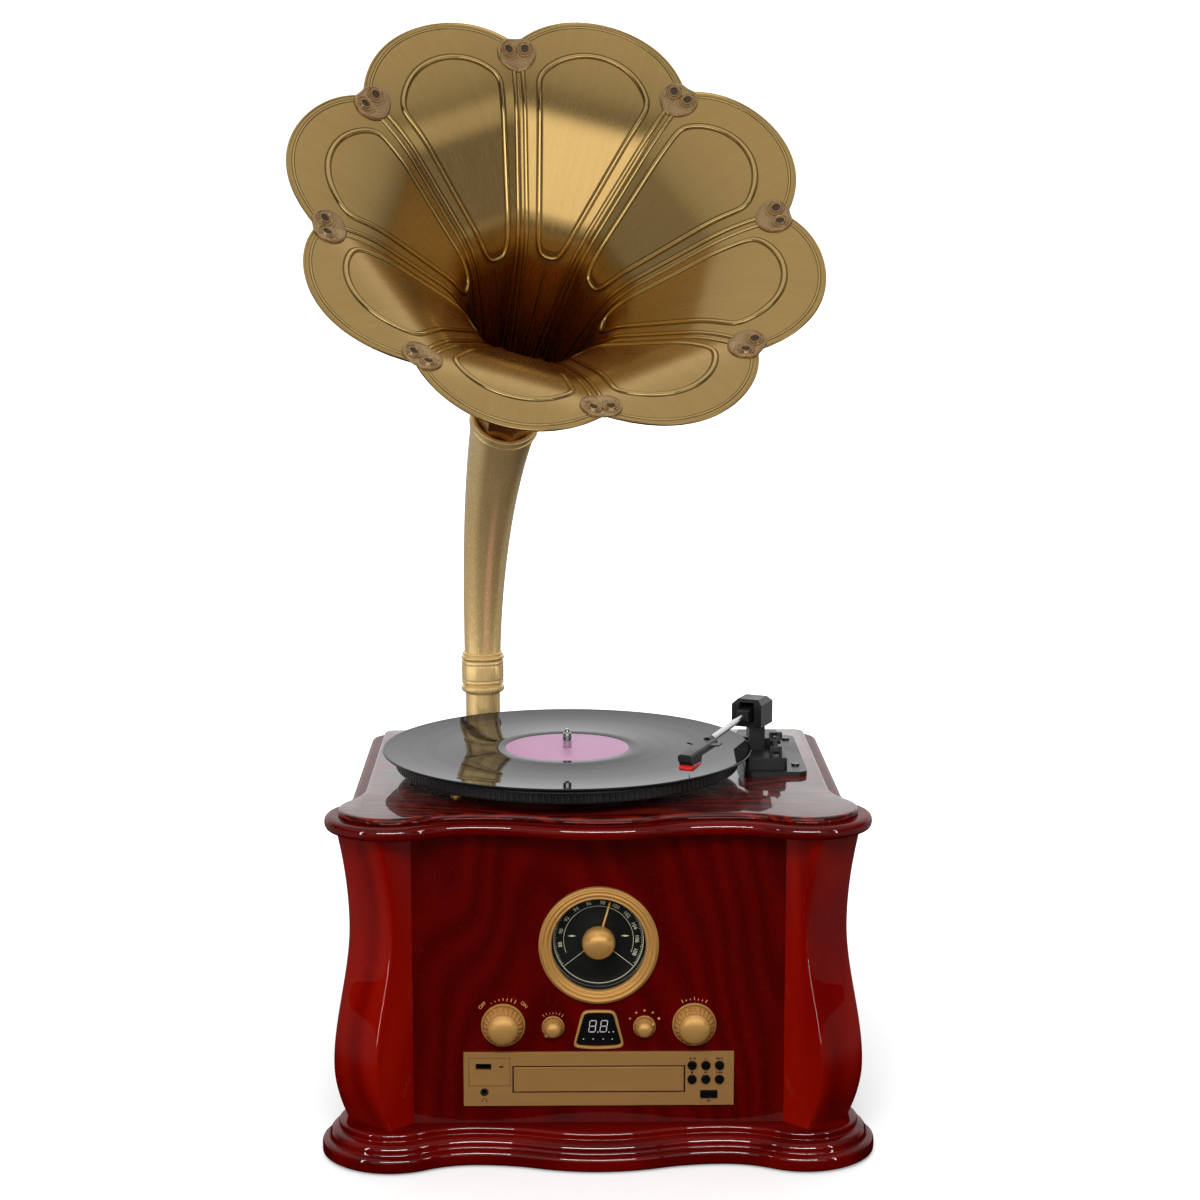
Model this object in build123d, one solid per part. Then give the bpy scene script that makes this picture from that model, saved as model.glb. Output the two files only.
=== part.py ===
from build123d import *
import math
import os

# Record player: a red lacquered wooden cabinet with a turntable on top, a radio and disc
# drawer in the front, and a brass flower horn on a curved pipe.
# Millimetres. +Z is up, the front faces -Y, and the origin is on the surface that the
# player stands on, under the middle of the cabinet.

# Heights of the cabinet's layers
FOOT_PROUD = 1.5
PLINTH_SLAB_TOP = 14.0
PLINTH_OGEE_TOP = 23.0
PLINTH_TOP = 29.3
CABINET_HEIGHT = 235.2
NOSING_THICK = 11.0
DECK_THICK = 5.3
CARCASS_TOP = PLINTH_TOP + CABINET_HEIGHT
DECK_LOW = CARCASS_TOP + NOSING_THICK
DECK_TOP = DECK_LOW + DECK_THICK

# Plan of the plinth: half widths, and distances in front of (-Y) and behind (+Y) the middle
SIDE_HALF = 202.0
EAR_HALF = 219.0
EAR_R = 57.0
EAR_FRONT_Y = -175.7
DIP_X = 97.0
DIP_Y = -158.3
BOW_Y = -174.0
FLARE_Y = -58.0
PLINTH_BACK_Y = 180.0
BACK_CORNER = 26.0
OGEE_INSET = 5.8
BEAD_INSET = 13.5
NOSING_INSET = 5.6
DECK_INSET = 16.5
SLAB_BEVEL = 3.4
OGEE_BEVEL = 2.6
BEAD_BEVEL = 1.8
NOSING_BEVEL = 3.2
DECK_BEVEL = 1.2

# Carcass panels
PANEL_THICK = 12.0
FRONT_Y = -136.7
SIDE_X = 177.0
REAR_Y = 152.0
REAR_THICK = 6.0
REAR_RECESS = 4.0

# Front corner posts: planks across the corners with an S-shaped outer face
POST_FOOT_X = 182.5
POST_FOOT_Y = -137.0
POST_WIDTH = 52.0
POST_BULGE_Z = 75.5
POST_BULGE = 13.0
POST_WAIST_Z = 184.4
POST_WAIST = -4.8
POST_LIP = 7.5
POST_DEPTH = 75.0

# Feet
FOOT_R = 13.0
FOOT_DEEP = 6.0
FOOT_X = 165.0
FOOT_FRONT_Y = -120.0
FOOT_BACK_Y = 145.0

# Clearances: between pieces that move past each other, and round a shaft in its bore
RUN = 0.3
SHAFT_FIT = 0.05

# Tuning dial in the front panel
DIAL_Z = 173.8
BEZEL_R = 47.0
BEZEL_INNER_R = 36.6
BEZEL_SLEEVE_R = 39.0
BEZEL_CREST_R = 44.0
BEZEL_PROUD = 5.0
DIAL_DEEP = 14.0
DIAL_THICK = 3.0
POINTER_LIFT = 2.4
POINTER_LONG = 32.5
POINTER_WIDE = 1.4
POINTER_THICK = 0.8
POINTER_AIM = 16.0
POINTER_HUB_R = 6.0
CAP_R = 13.3
CAP_PROUD = 3.5
CAP_SHAFT_R = 2.0
CAP_SHAFT_DEEP = 8.0

# Knobs
KNOB_X = 74.8
KNOB_Z = 109.3
COLLAR_R = 17.25
SKIRT_R = 15.6
KNOB_CAP_R = 12.4
KNOB_TALL = 16.0
KNOB_GRIPS = 24
KNOB_SKIRT = 0.6
KNOB_DOME = 0.15
SHAFT_R = 3.0
SMALL_KNOB_X = 35.8
SMALL_KNOB_Z = 107.6
SMALL_COLLAR_R = 8.85
SMALL_SKIRT_R = 7.6
SMALL_CAP_R = 6.0
SMALL_KNOB_TALL = 11.0
NUB_WIDE = 2.2
NUB_TALL = 4.4
SMALL_GRIPS = 14
SMALL_SHAFT_R = 2.0
COLLAR_THICK = 1.8
KNOB_SHAFT_DEEP = 20.0
KNOB_HOLE_CLEAR = 1.5
TONE_AIM = -135.0
SELECTOR_AIM = 60.0

# Display window
DISPLAY_Z = 106.0
DISPLAY_TALL = 30.0
DISPLAY_TOP_WIDE = 26.0
DISPLAY_LOW_WIDE = 41.0
DISPLAY_ROUND = 5.0
DISPLAY_RIM = 2.4
DISPLAY_PROUD = 2.4
DISPLAY_GLASS = 1.4
DISPLAY_DEEP = 4.0

# Faceplate with the disc drawer, sockets and buttons
PLATE_WIDE = 212.0
PLATE_LOW = 44.0
PLATE_HIGH = 87.4
PLATE_THICK = 2.6
PLATE_BEVEL = 0.9
BAY_WIDE = 200.0
BAY_LOW = 47.5
BAY_HIGH = 84.0
DRAWER_WIDE = 135.0
DRAWER_LOW = 54.9
DRAWER_HIGH = 76.5
DRAWER_GAP = 0.8
DRAWER_FACE = 3.4
TRAY_LONG = 136.0
TRAY_THICK = 7.0
DISC_POCKET_R = 60.6
DISC_POCKET = 2.4
SMALL_POCKET_R = 40.6
SMALL_POCKET = 1.0
TRAY_HUB_R = 17.0
HOUSING_WALL = 1.6
HOUSING_LONG = 150.0
USB_X = -90.4
USB_Z = 76.0
USB_WIDE = 13.1
USB_TALL = 5.8
USB_WALL = 0.4
USB_LONG = 16.0
USB_TONGUE_BACK = 2.4
USB_TONGUE = 1.8
JACK_X = -89.8
JACK_Z = 55.3
JACK_R = 3.3
JACK_BODY_R = 5.0
JACK_BORE_R = 1.8
JACK_LONG = 15.0
BUTTON_R = 3.4
BUTTON_X = 73.2
BUTTON_STEP_X = 10.75
BUTTON_LOW_Z = 65.2
BUTTON_HIGH_Z = 76.6
BUTTON_PROUD = 1.8
BUTTON_STEM = 8.0
BUTTON_FLANGE = 1.0
BUTTON_LIP = 0.7
EJECT_X = 86.4
EJECT_Z = 53.2
EJECT_WIDE = 13.0
EJECT_TALL = 5.7

# Speakers behind round grilles in the side panels
SPEAKER_Y = 20.0
SPEAKER_Z = 150.0
SPEAKER_HOLE_R = 44.0
GRILLE_R = 49.0
GRILLE_THICK = 2.5
GRILLE_OPEN_R = 42.0
GRILLE_SLOT = 5.0
GRILLE_PITCH = 11.0
CONE_DEEP = 14.0
BASKET_DEEP = 21.0
MAGNET_R = 25.0
MAGNET_TALL = 13.0

# Rear panel: cooling slots, screws, and a plate of sockets
VENT_TALL = 46.0
VENT_WIDE = 3.0
VENT_PITCH = 9.0
VENT_COUNT = 9
VENT_Z = 190.0
REAR_SCREW_X = 156.0
REAR_SCREW_EDGE = 10.0
SCREW_HEAD_R = 3.4
SCREW_HEAD = 1.6
SOCKET_Z = 66.0
SOCKET_WIDE = 112.0
SOCKET_TALL = 34.0
SOCKET_PLATE = 2.0
SOCKET_HOLE_WIDE = 102.0
SOCKET_HOLE_TALL = 26.0
INLET_X = -36.0
INLET_WIDE = 17.0
INLET_TALL = 9.0
INLET_DEEP = 12.0
INLET_WALL = 2.0
INLET_PIN_R = 1.2
INLET_PIN_X = 4.3
INLET_PIN_LONG = 10.0
LINE_OUT_X = 28.0
LINE_OUT_PITCH = 16.0
LINE_OUT_R = 4.15
LINE_OUT_BORE_R = 1.65
LINE_OUT_LONG = 9.0

# Circuit board with the mains transformer and amplifier
BOARD_WIDE = 170.0
BOARD_DEEP = 84.0
BOARD_Y = 84.0
BOARD_THICK = 1.6
RAIL_TALL = 5.0
RAIL_WIDE = 6.0
TRANSFORMER = (48.0, 40.0, 38.0)
HEATSINK = (42.0, 9.0, 26.0)
CAPACITOR_R = 6.0
CAPACITOR_TALL = 20.0

# Turntable
DISC_X = -24.1
DISC_Y = -14.0
RECORD_RISE = 24.1
RECORD_TOP = DECK_TOP + RECORD_RISE
RECORD_R = 150.5
RECORD_THICK = 2.0
RECORD_HOLE_R = 3.63
MAT_R = 134.0
MAT_THICK = 2.4
PLATTER_R = 140.0
PLATTER_TALL = 10.0
PLATTER_WEB = 3.0
PLATTER_WALL = 3.5
DRUM_R = 75.0
DRUM_WALL = 3.0
BELT_TALL = 5.0
BELT_THICK = 0.8
BELT_RISE = 6.2
BELT_LOW = DECK_TOP + BELT_RISE
HUB_R = 14.0
SPINDLE_R = 3.55
SPINDLE_NECK_R = 3.1
SPINDLE_NECK_LOW = 0.1
SPINDLE_NECK_TOP = 0.7
SPINDLE_RISE = 15.2
SPINDLE_POINT = 5.0
SPINDLE_FLANGE_R = 9.0
SPINDLE_FLANGE = 2.0
SPINDLE_DEEP = 24.0
BEARING_R = 9.0
BEARING_FLANGE_R = 16.0
BEARING_FLANGE = 1.5
BEARING_DEEP = 26.0
PULLEY_R = 6.0
PULLEY_RIM = 0.8
PULLEY_SHAFT_R = 1.2
PULLEY_AIM = 215.0
PULLEY_OUT = 106.0
MOTOR_R = 17.0
MOTOR_TALL = 26.0
MOTOR_GAP = 1.0
PULLEY_HOLE_R = 9.5
DECK_SCREW_X = -112.4
DECK_SCREW_Y = -88.7
DECK_SCREW_R = 4.2
DECK_SCREW_HEAD = 2.0
DECK_SCREW_SHANK_R = 2.0
DECK_SCREW_SLOT = 1.0

# Tonearm: base, turret and arm, with distances along the arm measured from the turret's axis
ARM_X = 133.0
ARM_Y = 34.0
ARM_AIM = 24.2
ARM_BASE_LEFT = 121.0
ARM_BASE_RIGHT = 172.5
ARM_BASE_FRONT = -22.0
ARM_BASE_BACK = 118.0
ARM_FLANGE = 3.8
ARM_BOX_RIGHT = 156.5
ARM_BOX_FRONT = -15.0
ARM_BOX_BACK = 98.0
ARM_BOX_TALL = 13.7
ARM_BOX_TOP = DECK_TOP + ARM_BOX_TALL
ARM_BASE_ROUND = 8.0
ARM_BOX_ROUND = 4.0
ARM_SCREW_X = 164.5
ARM_SCREW_FRONT_Y = 3.0
ARM_SCREW_BACK_Y = 101.0
COLUMN_LEFT = 127.0
COLUMN_RIGHT = 140.0
COLUMN_FRONT = 16.0
COLUMN_BACK = 50.0
COLUMN_RISE = 33.2
COLUMN_TOP = DECK_TOP + COLUMN_RISE
BOSS_X = 137.0
BOSS_Y = 40.0
BOSS_R = 16.0
BOSS_TALL = 8.0
TURRET_SHAFT_R = 2.5
TURRET_SHAFT_LONG = 20.0
TURRET_WIDE = 26.0
TURRET_BACK = -7.0
TURRET_FRONT = 21.0
TURRET_FLOOR = 4.0
TURRET_RISE = 56.2
TURRET_TOP = DECK_TOP + TURRET_RISE
TURRET_CHAMFER = 4.0
FORK_GAP = 13.0
PIVOT_S = 9.0
PIVOT_RISE = 45.2
PIVOT_Z = DECK_TOP + PIVOT_RISE
PIVOT_R = 1.5
ARM_SLOPE = 3.4
BLOCK_WIDE = 9.5
BLOCK_TALL = 9.0
BLOCK_BACK = -8.0
BLOCK_FRONT = 23.0
TUBE_R = 2.6
TUBE_WALL = 0.5
TUBE_INTO_BLOCK = 8.0
TUBE_END = 101.0
SHELL_BACK = 99.0
SHELL_FRONT = 152.0
SHELL_WIDE = 15.0
SHELL_NOSE = 11.0
SHELL_THICK = 2.4
SHELL_SKIRT = 3.0
SOCKET_R = 4.0
SOCKET_LONG = 8.0
WING_SPAN = 27.0
WING_LONG = 7.0
WING_THICK = 1.2
CARTRIDGE_BACK = 128.0
CARTRIDGE_WIDE = 11.0
CARTRIDGE_TALL = 6.5
STYLUS_TALL = 4.0
STYLUS_NOSE = 4.0
STYLUS_S = 143.0
STYLUS_HOVER = 0.5
CLIP_X = 147.5
CLIP_Y = -6.0
CLIP_RISE = 18.2
CLIP_Z = DECK_TOP + CLIP_RISE
CLIP_LONG = 20.0
CLIP_LEAN = 30.0
CLIP_PIN_R = 1.2
CLIP_EAR = 2.0
CLIP_EAR_TALL = 7.0
CLIP_HUB_WIDE = 5.0
CLIP_FORK = 9.0
CLIP_PRONG = 1.6
LIFTER_X = 146.0
LIFTER_Y = 19.0
LIFTER_R = 1.5
LIFTER_RISE = 28.2
LIFTER_TOP = DECK_TOP + LIFTER_RISE
LIFTER_GUIDE = 8.0
LIFTER_HOOK = 7.0

# Horn pipe: a fixed socket on the deck, and a bent, widening pipe that turns in it
PIPE_X = -97.7
PIPE_Y = 138.0
SOCKET_BORE_R = 13.5
SOCKET_TUBE_R = 14.9
FLANGE_R = 23.0
FLANGE_THICK = 3.0
RING_RISE = 40.2
RING_LOW_Z = DECK_TOP + RING_RISE
RING_TALL = 6.0
BAND_RISE = 47.7
BAND_Z = DECK_TOP + BAND_RISE
BAND_TALL = 21.0
RING_R = 18.8
BAND_R = 18.2
SPIGOT_LONG = 34.0
PIPE_R = 15.7
PIPE_WALL = 1.6
MOUTH_R = 28.0
MOUTH_BAND = 10.0
MOUTH_BAND_THICK = 0.8
BEND_RISE = 69.2
BEND_Z = DECK_TOP + BEND_RISE
BEND_R = 295.0
HORN_AZIMUTH = 13.8
HORN_ELEVATION = 41.7
FLARE_POWER = 1.4
PIPE_STATIONS = 9

# Horn: eight sheet petals, each curved lengthwise and straight across, meeting at seams.
# Radii are at the seams, and heights are along the horn's axis from the pipe's mouth.
PETALS = 8
SEAM_TURN = 1.4
NECK_R = 21.4
NECK_DEEP = 14.0
MOUTH_NECK_R = 24.5
THROAT_SLOPE = 0.16
THROAT_R = 55.0
THROAT_H = 130.0
BELL_R = 80.0
BELL_H = 170.0
FLARE_R = 125.0
FLARE_H = 212.0
LIP_R = 173.0
LIP_H = 241.0
RIM_R = 226.0
RIM_H = 250.5
NOTCH_R = 180.5
LOBE_REACH = 206.0
SHEET = 1.4
BEAD = 0.9
PANEL_OUTER_AT = 138.0
PANEL_OUTER_R = 47.0
PANEL_INNER_AT = 64.0
PANEL_INNER_R = 10.0
HORN_CLIP_AT = 171.5
HORN_CLIP_WIDE = 31.0
HORN_CLIP_TALL = 27.0
HORN_CLIP_THICK = 1.6
HORN_CLIP_END = 183.5


def turned(*outline):
    """Solid of revolution about Z, from its outline's corners as (radius, height)."""
    return revolve(Plane.XZ * make_face(Polyline(*outline, close=True)), Axis.Z)


def between(low, high):
    """A box from its lowest to its highest corner."""
    size = [b - a for a, b in zip(low, high)]
    middle = [(a + b) / 2 for a, b in zip(low, high)]
    return Pos(*middle) * Box(*size)


def on_front(x, z, shape):
    """Stand a shape, built up from its seat along +Z, on the front panel."""
    return Pos(x, FRONT_Y, z) * Rot(90, 0, 0) * shape


def on_rear(x, z, shape):
    """Stand a shape, built up from its seat along +Z, on the rear panel."""
    return Pos(x, REAR_Y + REAR_THICK, z) * Rot(-90, 0, 0) * shape


def s_curve(start, finish, tangent, share):
    """Two arcs that leave start along tangent and reach finish in the same direction."""
    turn = start + (finish - start) * share
    first = TangentArc(start, turn, tangent=tangent)
    return first + TangentArc(turn, finish, tangent=first % 1)


def plan(inset):
    """The cabinet's outline seen from above, drawn in all round by inset."""
    bow = Vector(0, BOW_Y)
    dip = Vector(DIP_X, DIP_Y)
    ear_front = Vector(EAR_HALF - EAR_R, EAR_FRONT_Y)
    ear_side = Vector(EAR_HALF, EAR_FRONT_Y + EAR_R)
    flare = Vector(SIDE_HALF, FLARE_Y)
    ahead, aside = ear_front - dip, flare - ear_side
    ahead_share = 1 - 2 * EAR_R * abs(ahead.Y) / ahead.length**2
    aside_share = 2 * EAR_R * abs(aside.X) / aside.length**2
    right = (
        s_curve(bow, dip, (1, 0), 0.5)
        + s_curve(dip, ear_front, (1, 0), ahead_share)
        + TangentArc(ear_front, ear_side, tangent=(1, 0))
        + s_curve(ear_side, flare, (0, 1), aside_share)
        + Polyline(flare, (SIDE_HALF, PLINTH_BACK_Y), (0, PLINTH_BACK_Y))
    )
    face = make_face(right + mirror(right, about=Plane.YZ))
    corners = [v for v in face.vertices() if v.Y > PLINTH_BACK_Y - 1 and abs(v.X) > DIP_X]
    face = fillet(corners, BACK_CORNER)
    return offset(face, -inset) if inset else face


def board(inset, low, high, top_bevel, low_bevel=0.0):
    """One board of the plinth or top, with its edge bevelled."""
    solid = Pos(0, 0, low) * extrude(plan(inset), high - low)
    solid = chamfer(solid.faces().sort_by(Axis.Z)[-1].outer_wire().edges(), top_bevel)
    if low_bevel:
        solid = chamfer(solid.faces().sort_by(Axis.Z)[0].outer_wire().edges(), low_bevel)
    return solid


def feet():
    """Places of the four corner feet and the one under the middle."""
    corners = [(x, y) for x in (-FOOT_X, FOOT_X) for y in (FOOT_FRONT_Y, FOOT_BACK_Y)]
    return [Pos(x, y, FOOT_DEEP / 2) for x, y in corners + [(0, 0)]]


def base_plinth():
    slab = board(0, FOOT_PROUD, PLINTH_SLAB_TOP, SLAB_BEVEL)
    ogee = board(OGEE_INSET, PLINTH_SLAB_TOP, PLINTH_OGEE_TOP, OGEE_BEVEL)
    bead = board(BEAD_INSET, PLINTH_OGEE_TOP, PLINTH_TOP, BEAD_BEVEL)
    return slab + ogee + bead - rubber_feet()


def rubber_feet():
    return [place * Cylinder(FOOT_R, FOOT_DEEP) for place in feet()]


def post_corners():
    """Where a post's two flanks meet the front panel (x) and the side panel (y)."""
    reach = POST_WIDTH / 2 / math.sqrt(2)
    meets_front = POST_FOOT_X - reach - (FRONT_Y - (POST_FOOT_Y - reach))
    meets_side = POST_FOOT_Y + reach + (POST_FOOT_X + reach - SIDE_X)
    return meets_front, meets_side


def corner_post():
    """Left front post: a plank across the corner, cut to an S on its outer face."""
    meets_front, meets_side = post_corners()
    inside_x = SIDE_X - PANEL_THICK
    far = POST_DEPTH * 2
    section = Polyline(
        (-meets_front, FRONT_Y),
        (-meets_front, FRONT_Y + PANEL_THICK),
        (-inside_x, meets_side),
        (-SIDE_X, meets_side),
        (-SIDE_X - far, meets_side - far),
        (-meets_front - far, FRONT_Y - far),
        close=True,
    )
    plank = Pos(0, 0, PLINTH_TOP) * extrude(make_face(section), CABINET_HEIGHT)
    curve = (
        Spline((0, PLINTH_TOP), (POST_BULGE, POST_BULGE_Z), tangents=[(0.5, 1), (0, 1)])
        + Spline((POST_BULGE, POST_BULGE_Z), (POST_WAIST, POST_WAIST_Z), tangents=[(0, 1), (0, 1)])
        + Spline((POST_WAIST, POST_WAIST_Z), (POST_LIP, CARCASS_TOP), tangents=[(0, 1), (0.3, 1)])
    )
    back = Polyline(
        (POST_LIP, CARCASS_TOP), (-POST_DEPTH, CARCASS_TOP), (-POST_DEPTH, PLINTH_TOP), (0, PLINTH_TOP)
    )
    diagonal = Plane(
        origin=(-POST_FOOT_X, POST_FOOT_Y, 0), x_dir=(-1, -1, 0), z_dir=(-1, 1, 0)
    )
    profile = extrude(diagonal * make_face(curve + back), POST_WIDTH, both=True)
    return plank & profile


def front_panel():
    meets_front, _ = post_corners()
    panel = between(
        (-meets_front, FRONT_Y, PLINTH_TOP), (meets_front, FRONT_Y + PANEL_THICK, CARCASS_TOP)
    )
    through = PANEL_THICK * 2
    panel -= on_front(0, DIAL_Z, Cylinder(BEZEL_SLEEVE_R, through))
    for x in (-KNOB_X, KNOB_X):
        panel -= on_front(x, KNOB_Z, Cylinder(SHAFT_R + KNOB_HOLE_CLEAR, through))
    for x in (-SMALL_KNOB_X, SMALL_KNOB_X):
        panel -= on_front(x, SMALL_KNOB_Z, Cylinder(SMALL_SHAFT_R + KNOB_HOLE_CLEAR, through))
    panel -= on_front(0, DISPLAY_Z, Pos(0, 0, -DISPLAY_DEEP) * extrude(display_outline(DISPLAY_RIM), DISPLAY_DEEP))
    bay_middle = (BAY_LOW + BAY_HIGH) / 2
    panel -= on_front(0, bay_middle, Box(BAY_WIDE, BAY_HIGH - BAY_LOW, through))
    return panel


def side_panel(side):
    _, meets_side = post_corners()
    back = REAR_Y + REAR_THICK + REAR_RECESS
    panel = between(
        (SIDE_X - PANEL_THICK, meets_side, PLINTH_TOP), (SIDE_X, back, CARCASS_TOP)
    )
    panel -= Pos(SIDE_X, SPEAKER_Y, SPEAKER_Z) * Rot(0, 90, 0) * Cylinder(SPEAKER_HOLE_R, PANEL_THICK * 2)
    return panel if side > 0 else mirror(panel, about=Plane.YZ)


def rear_screw_places():
    top, low = CARCASS_TOP - REAR_SCREW_EDGE, PLINTH_TOP + REAR_SCREW_EDGE
    return [(x, z) for x in (-REAR_SCREW_X, 0, REAR_SCREW_X) for z in (low, top)]


def rear_panel():
    inside_x = SIDE_X - PANEL_THICK
    panel = between((-inside_x, REAR_Y, PLINTH_TOP), (inside_x, REAR_Y + REAR_THICK, CARCASS_TOP))
    for n in range(VENT_COUNT):
        x = (n - (VENT_COUNT - 1) / 2) * VENT_PITCH
        panel -= on_rear(x, VENT_Z, Box(VENT_WIDE, VENT_TALL, REAR_THICK * 2))
    panel -= on_rear(0, SOCKET_Z, Box(SOCKET_HOLE_WIDE, SOCKET_HOLE_TALL, REAR_THICK * 2))
    return panel


def screw_head():
    return Pos(0, 0, SCREW_HEAD / 2) * Cylinder(SCREW_HEAD_R, SCREW_HEAD)


def black_screws():
    """Heads of the screws in the rear panel and in the tonearm's flange."""
    rear = [on_rear(x, z, screw_head()) for x, z in rear_screw_places()]
    top = DECK_TOP + ARM_FLANGE
    arm = [Pos(ARM_SCREW_X, y, top) * screw_head() for y in (ARM_SCREW_FRONT_Y, ARM_SCREW_BACK_Y)]
    return rear + arm


def socket_plate():
    """Mains inlet and line-out sockets on one moulded plate."""
    plate = Pos(0, 0, SOCKET_PLATE / 2) * Box(SOCKET_WIDE, SOCKET_TALL, SOCKET_PLATE)
    well_wide, well_tall = INLET_WIDE + 2 * INLET_WALL, INLET_TALL + 2 * INLET_WALL
    well_deep = INLET_DEEP + INLET_WALL
    plate += Pos(INLET_X, 0, -well_deep / 2) * Box(well_wide, well_tall, well_deep)
    recess = extrude(SlotOverall(INLET_WIDE, INLET_TALL), INLET_DEEP + SOCKET_PLATE)
    plate -= Pos(INLET_X, 0, -INLET_DEEP) * recess
    for x in (-INLET_PIN_X, INLET_PIN_X):
        pin = Cylinder(INLET_PIN_R, INLET_PIN_LONG)
        plate += Pos(INLET_X + x, 0, INLET_PIN_LONG / 2 - INLET_DEEP) * pin
    for n in range(2):
        x = LINE_OUT_X + n * LINE_OUT_PITCH
        plate += Pos(x, 0, SOCKET_PLATE + LINE_OUT_LONG / 2) * Cylinder(LINE_OUT_R, LINE_OUT_LONG)
        plate -= Pos(x, 0, SOCKET_PLATE + LINE_OUT_LONG) * Cylinder(LINE_OUT_BORE_R, LINE_OUT_LONG * 2)
    return on_rear(0, SOCKET_Z, plate)


def speaker_grilles():
    grille = Pos(0, 0, GRILLE_THICK / 2) * Cylinder(GRILLE_R, GRILLE_THICK)
    rows = int(GRILLE_OPEN_R / GRILLE_PITCH)
    slots = [
        Pos(0, n * GRILLE_PITCH, 0) * Box(GRILLE_OPEN_R * 2, GRILLE_SLOT, GRILLE_THICK * 3)
        for n in range(-rows, rows + 1)
    ]
    opening = Cylinder(GRILLE_OPEN_R, GRILLE_THICK * 3)
    for slot in slots:
        grille -= slot & opening
    right = Pos(SIDE_X, SPEAKER_Y, SPEAKER_Z) * Rot(0, 90, 0) * Rot(0, 0, 90) * grille
    return [right, mirror(right, about=Plane.YZ)]


def speaker_drivers():
    """Cone, basket and magnet, built from the panel's inner face inwards."""
    back = BASKET_DEEP + MAGNET_TALL
    driver = turned(
        (0, CONE_DEEP),
        (GRILLE_OPEN_R, 0),
        (GRILLE_R, 0),
        (MAGNET_R, BASKET_DEEP),
        (MAGNET_R, back),
        (0, back),
    )
    right = Pos(SIDE_X - PANEL_THICK, SPEAKER_Y, SPEAKER_Z) * Rot(0, -90, 0) * driver
    return [right, mirror(right, about=Plane.YZ)]


def main_board():
    top = PLINTH_TOP + RAIL_TALL
    high = top + BOARD_THICK
    board_shape = between(
        (-BOARD_WIDE / 2, BOARD_Y - BOARD_DEEP / 2, top), (BOARD_WIDE / 2, BOARD_Y + BOARD_DEEP / 2, high)
    )
    for y in (BOARD_Y - BOARD_DEEP / 2 + RAIL_WIDE, BOARD_Y + BOARD_DEEP / 2 - RAIL_WIDE):
        board_shape += Pos(0, y, PLINTH_TOP + RAIL_TALL / 2) * Box(BOARD_WIDE, RAIL_WIDE, RAIL_TALL)
    wide, deep, tall = TRANSFORMER
    board_shape += Pos(-BOARD_WIDE / 4, BOARD_Y, high + tall / 2) * Box(wide, deep, tall)
    wide, deep, tall = HEATSINK
    board_shape += Pos(BOARD_WIDE / 4, BOARD_Y - BOARD_DEEP / 4, high + tall / 2) * Box(wide, deep, tall)
    for n in range(3):
        x = BOARD_WIDE / 8 + n * CAPACITOR_R * 3
        board_shape += Pos(x, BOARD_Y + BOARD_DEEP / 5, high + CAPACITOR_TALL / 2) * Cylinder(
            CAPACITOR_R, CAPACITOR_TALL
        )
    return board_shape


def pulley_place():
    aim = math.radians(PULLEY_AIM)
    return DISC_X + PULLEY_OUT * math.cos(aim), DISC_Y + PULLEY_OUT * math.sin(aim)


def top_moulding():
    nosing = board(NOSING_INSET, CARCASS_TOP, DECK_LOW, NOSING_BEVEL, NOSING_BEVEL)
    x, y = pulley_place()
    nosing -= Pos(x, y, CARCASS_TOP) * Cylinder(MOTOR_R + MOTOR_GAP, NOSING_THICK * 3)
    nosing -= Pos(DISC_X, DISC_Y, CARCASS_TOP) * Cylinder(BEARING_R, NOSING_THICK * 3)
    return nosing


def deck_panel():
    deck = board(DECK_INSET, DECK_LOW, DECK_TOP, DECK_BEVEL)
    x, y = pulley_place()
    deck -= Pos(x, y, DECK_LOW) * Cylinder(PULLEY_HOLE_R, DECK_THICK * 3)
    deck -= Pos(DISC_X, DISC_Y, DECK_LOW) * Cylinder(BEARING_R, DECK_THICK * 3)
    deck -= Pos(DECK_SCREW_X, DECK_SCREW_Y, DECK_LOW) * Cylinder(DECK_SCREW_SHANK_R, DECK_THICK * 3)
    return deck


def deck_screw():
    """Slotted screw in the deck."""
    screw = turned(
        (0, -DECK_THICK),
        (DECK_SCREW_SHANK_R, -DECK_THICK),
        (DECK_SCREW_SHANK_R, 0),
        (DECK_SCREW_R, 0),
        (DECK_SCREW_R, DECK_SCREW_HEAD),
        (0, DECK_SCREW_HEAD),
    )
    screw -= Pos(0, 0, DECK_SCREW_HEAD) * Box(DECK_SCREW_R * 3, DECK_SCREW_SLOT, DECK_SCREW_SLOT * 2)
    return Pos(DECK_SCREW_X, DECK_SCREW_Y, DECK_TOP) * screw


def dial_bezel():
    """Bevelled ring on the panel, with a sleeve through it."""
    ring = turned(
        (BEZEL_INNER_R, -DIAL_DEEP),
        (BEZEL_SLEEVE_R, -DIAL_DEEP),
        (BEZEL_SLEEVE_R, 0),
        (BEZEL_R, 0),
        (BEZEL_R, BEZEL_PROUD / 2),
        (BEZEL_CREST_R, BEZEL_PROUD),
        (BEZEL_INNER_R, BEZEL_PROUD / 2),
    )
    return on_front(0, DIAL_Z, ring)


def dial_face():
    low = -DIAL_DEEP - DIAL_THICK
    bore = CAP_SHAFT_R + SHAFT_FIT
    plate = turned((bore, low), (BEZEL_SLEEVE_R, low), (BEZEL_SLEEVE_R, -DIAL_DEEP), (bore, -DIAL_DEEP))
    return on_front(0, DIAL_Z, plate)


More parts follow.
